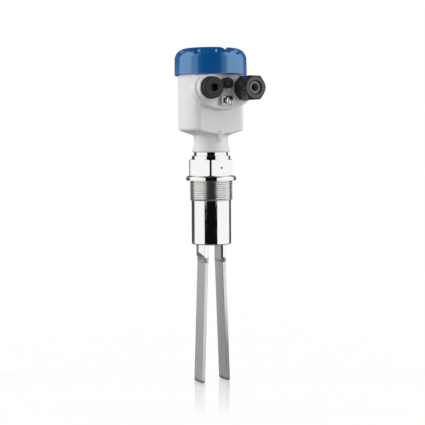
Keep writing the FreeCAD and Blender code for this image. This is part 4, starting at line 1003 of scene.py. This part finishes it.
for name, (first, last, radius, low, high, brightness) in CARDS.items():
    wall = start_at("card_" + name, round_about(last, radius, low))
    bpy.ops.mesh.extrude_region_move(TRANSFORM_OT_translate={"value": (0, 0, high - low)})
    bpy.ops.mesh.select_all(action="SELECT")
    bpy.ops.mesh.spin(steps=CARD_STEPS, angle=math.radians(last - first), center=(0, 0, 0),
                      axis=(0, 0, 1))
    bpy.ops.object.mode_set(mode="OBJECT")
    mirrored_only(wall, brightness)
for name, (height, brightness) in SHEETS.items():
    bpy.ops.object.select_all(action="DESELECT")
    bpy.ops.mesh.primitive_plane_add(size=SHEET, location=(0, 0, height))
    bpy.context.object.name = "card_" + name
    mirrored_only(bpy.context.object, brightness)
print(len(CARDS), "upright cards and", len(SHEETS), "sheets")

# %% [markdown]
# ## The ground
# The switch stands on a white, glossy ground that mirrors its tips and fades to plain white. A lit
# sheet would never be evenly white, so the ground glows for the camera and is a mirror only in a
# strip under the tips. It is kept out of the steel's reflections, which the cards make.

# %% Floor
FLOOR_LEVEL, FLOOR_SIZE = -0.2225, 30  # in metres
NEAR_WHITE, WHITE_RUN = 0.985, (0.2, 1.0)  # share near the switch, and where it grows to 1
SHINE, SHINE_RUN, FADE_RUN = 0.42, (-0.06, -0.03), (0.02, 0.17)  # along the view, in metres


def measured(tree, how, place, direction=(0, 0, 0)):
    """The length of a place's vector, or its share along a direction."""
    measure = tree.nodes.new("ShaderNodeVectorMath")
    measure.operation = how
    measure.inputs[1].default_value = direction
    tree.links.new(place, measure.inputs[0])
    return measure.outputs["Value"]


def mixed(tree, share, one, two):
    """Mixes two shaders by the share of the second."""
    mix = tree.nodes.new("ShaderNodeMixShader")
    tree.links.new(share, mix.inputs["Fac"])
    tree.links.new(one, mix.inputs[1])
    tree.links.new(two, mix.inputs[2])
    return mix.outputs["Shader"]


bpy.ops.object.select_all(action="DESELECT")
bpy.ops.mesh.primitive_plane_add(size=FLOOR_SIZE, location=(0, 0, FLOOR_LEVEL))
floor = bpy.context.object
floor.name = "floor"
paper = new_finish("paper", (0.9, 0.9, 0.9), 0.6)
tree = paper.node_tree
place = tree.nodes["place"].outputs["Object"]
path = tree.nodes.new("ShaderNodeLightPath")
glow = tree.nodes.new("ShaderNodeEmission")
whiter = ranged(tree, measured(tree, "LENGTH", place), *WHITE_RUN, NEAR_WHITE)
seen = paired(tree, "MULTIPLY", path.outputs["Is Camera Ray"], whiter)
ground = mixed(tree, seen, tree.nodes["Principled BSDF"].outputs["BSDF"], glow.outputs["Emission"])
ahead = measured(tree, "DOT_PRODUCT", place, towards)
shine = ranged(tree, ahead, *SHINE_RUN, 0.0, SHINE)
fade = ranged(tree, ahead, *FADE_RUN, 1.0, 0.0)
mirror = tree.nodes.new("ShaderNodeBsdfGlossy")
mirror.inputs["Color"].default_value = (1, 1, 1, 1)
mirror.inputs["Roughness"].default_value = 0.05
ground = mixed(tree, paired(tree, "MULTIPLY", shine, fade), ground, mirror.outputs["BSDF"])
tree.links.new(ground, tree.nodes["Material Output"].inputs["Surface"])
floor.data.materials.append(paper)
floor.visible_glossy = floor.visible_diffuse = False
print("floor at", FLOOR_LEVEL, "m")

# %% [markdown]
# ## The background
# The room is white for the camera and for mirrors, but weak as a light, or it would flatten the
# shading of the housing. A white wall would need light of its own; the light path tells which kind
# of ray looks at the sky, and each gets its strength.

# %% Background
DIM, FULL = 0.19, 1.0
world = bpy.data.worlds.new("studio")
bpy.context.scene.world = world
world.use_nodes = True
tree = world.node_tree
sky = tree.nodes["Background"]
path = tree.nodes.new("ShaderNodeLightPath")
seen = paired(tree, "MAXIMUM", path.outputs["Is Camera Ray"], path.outputs["Is Glossy Ray"])
seen = paired(tree, "MAXIMUM", seen, path.outputs["Is Transmission Ray"])
tree.links.new(ranged(tree, seen, 0.0, 1.0, DIM, FULL), sky.inputs["Strength"])
sky.inputs["Color"].default_value = (1, 1, 1, 1)
bpy.context.scene.view_settings.view_transform = "Standard"
print("sky", DIM, "as a light,", FULL, "as seen")
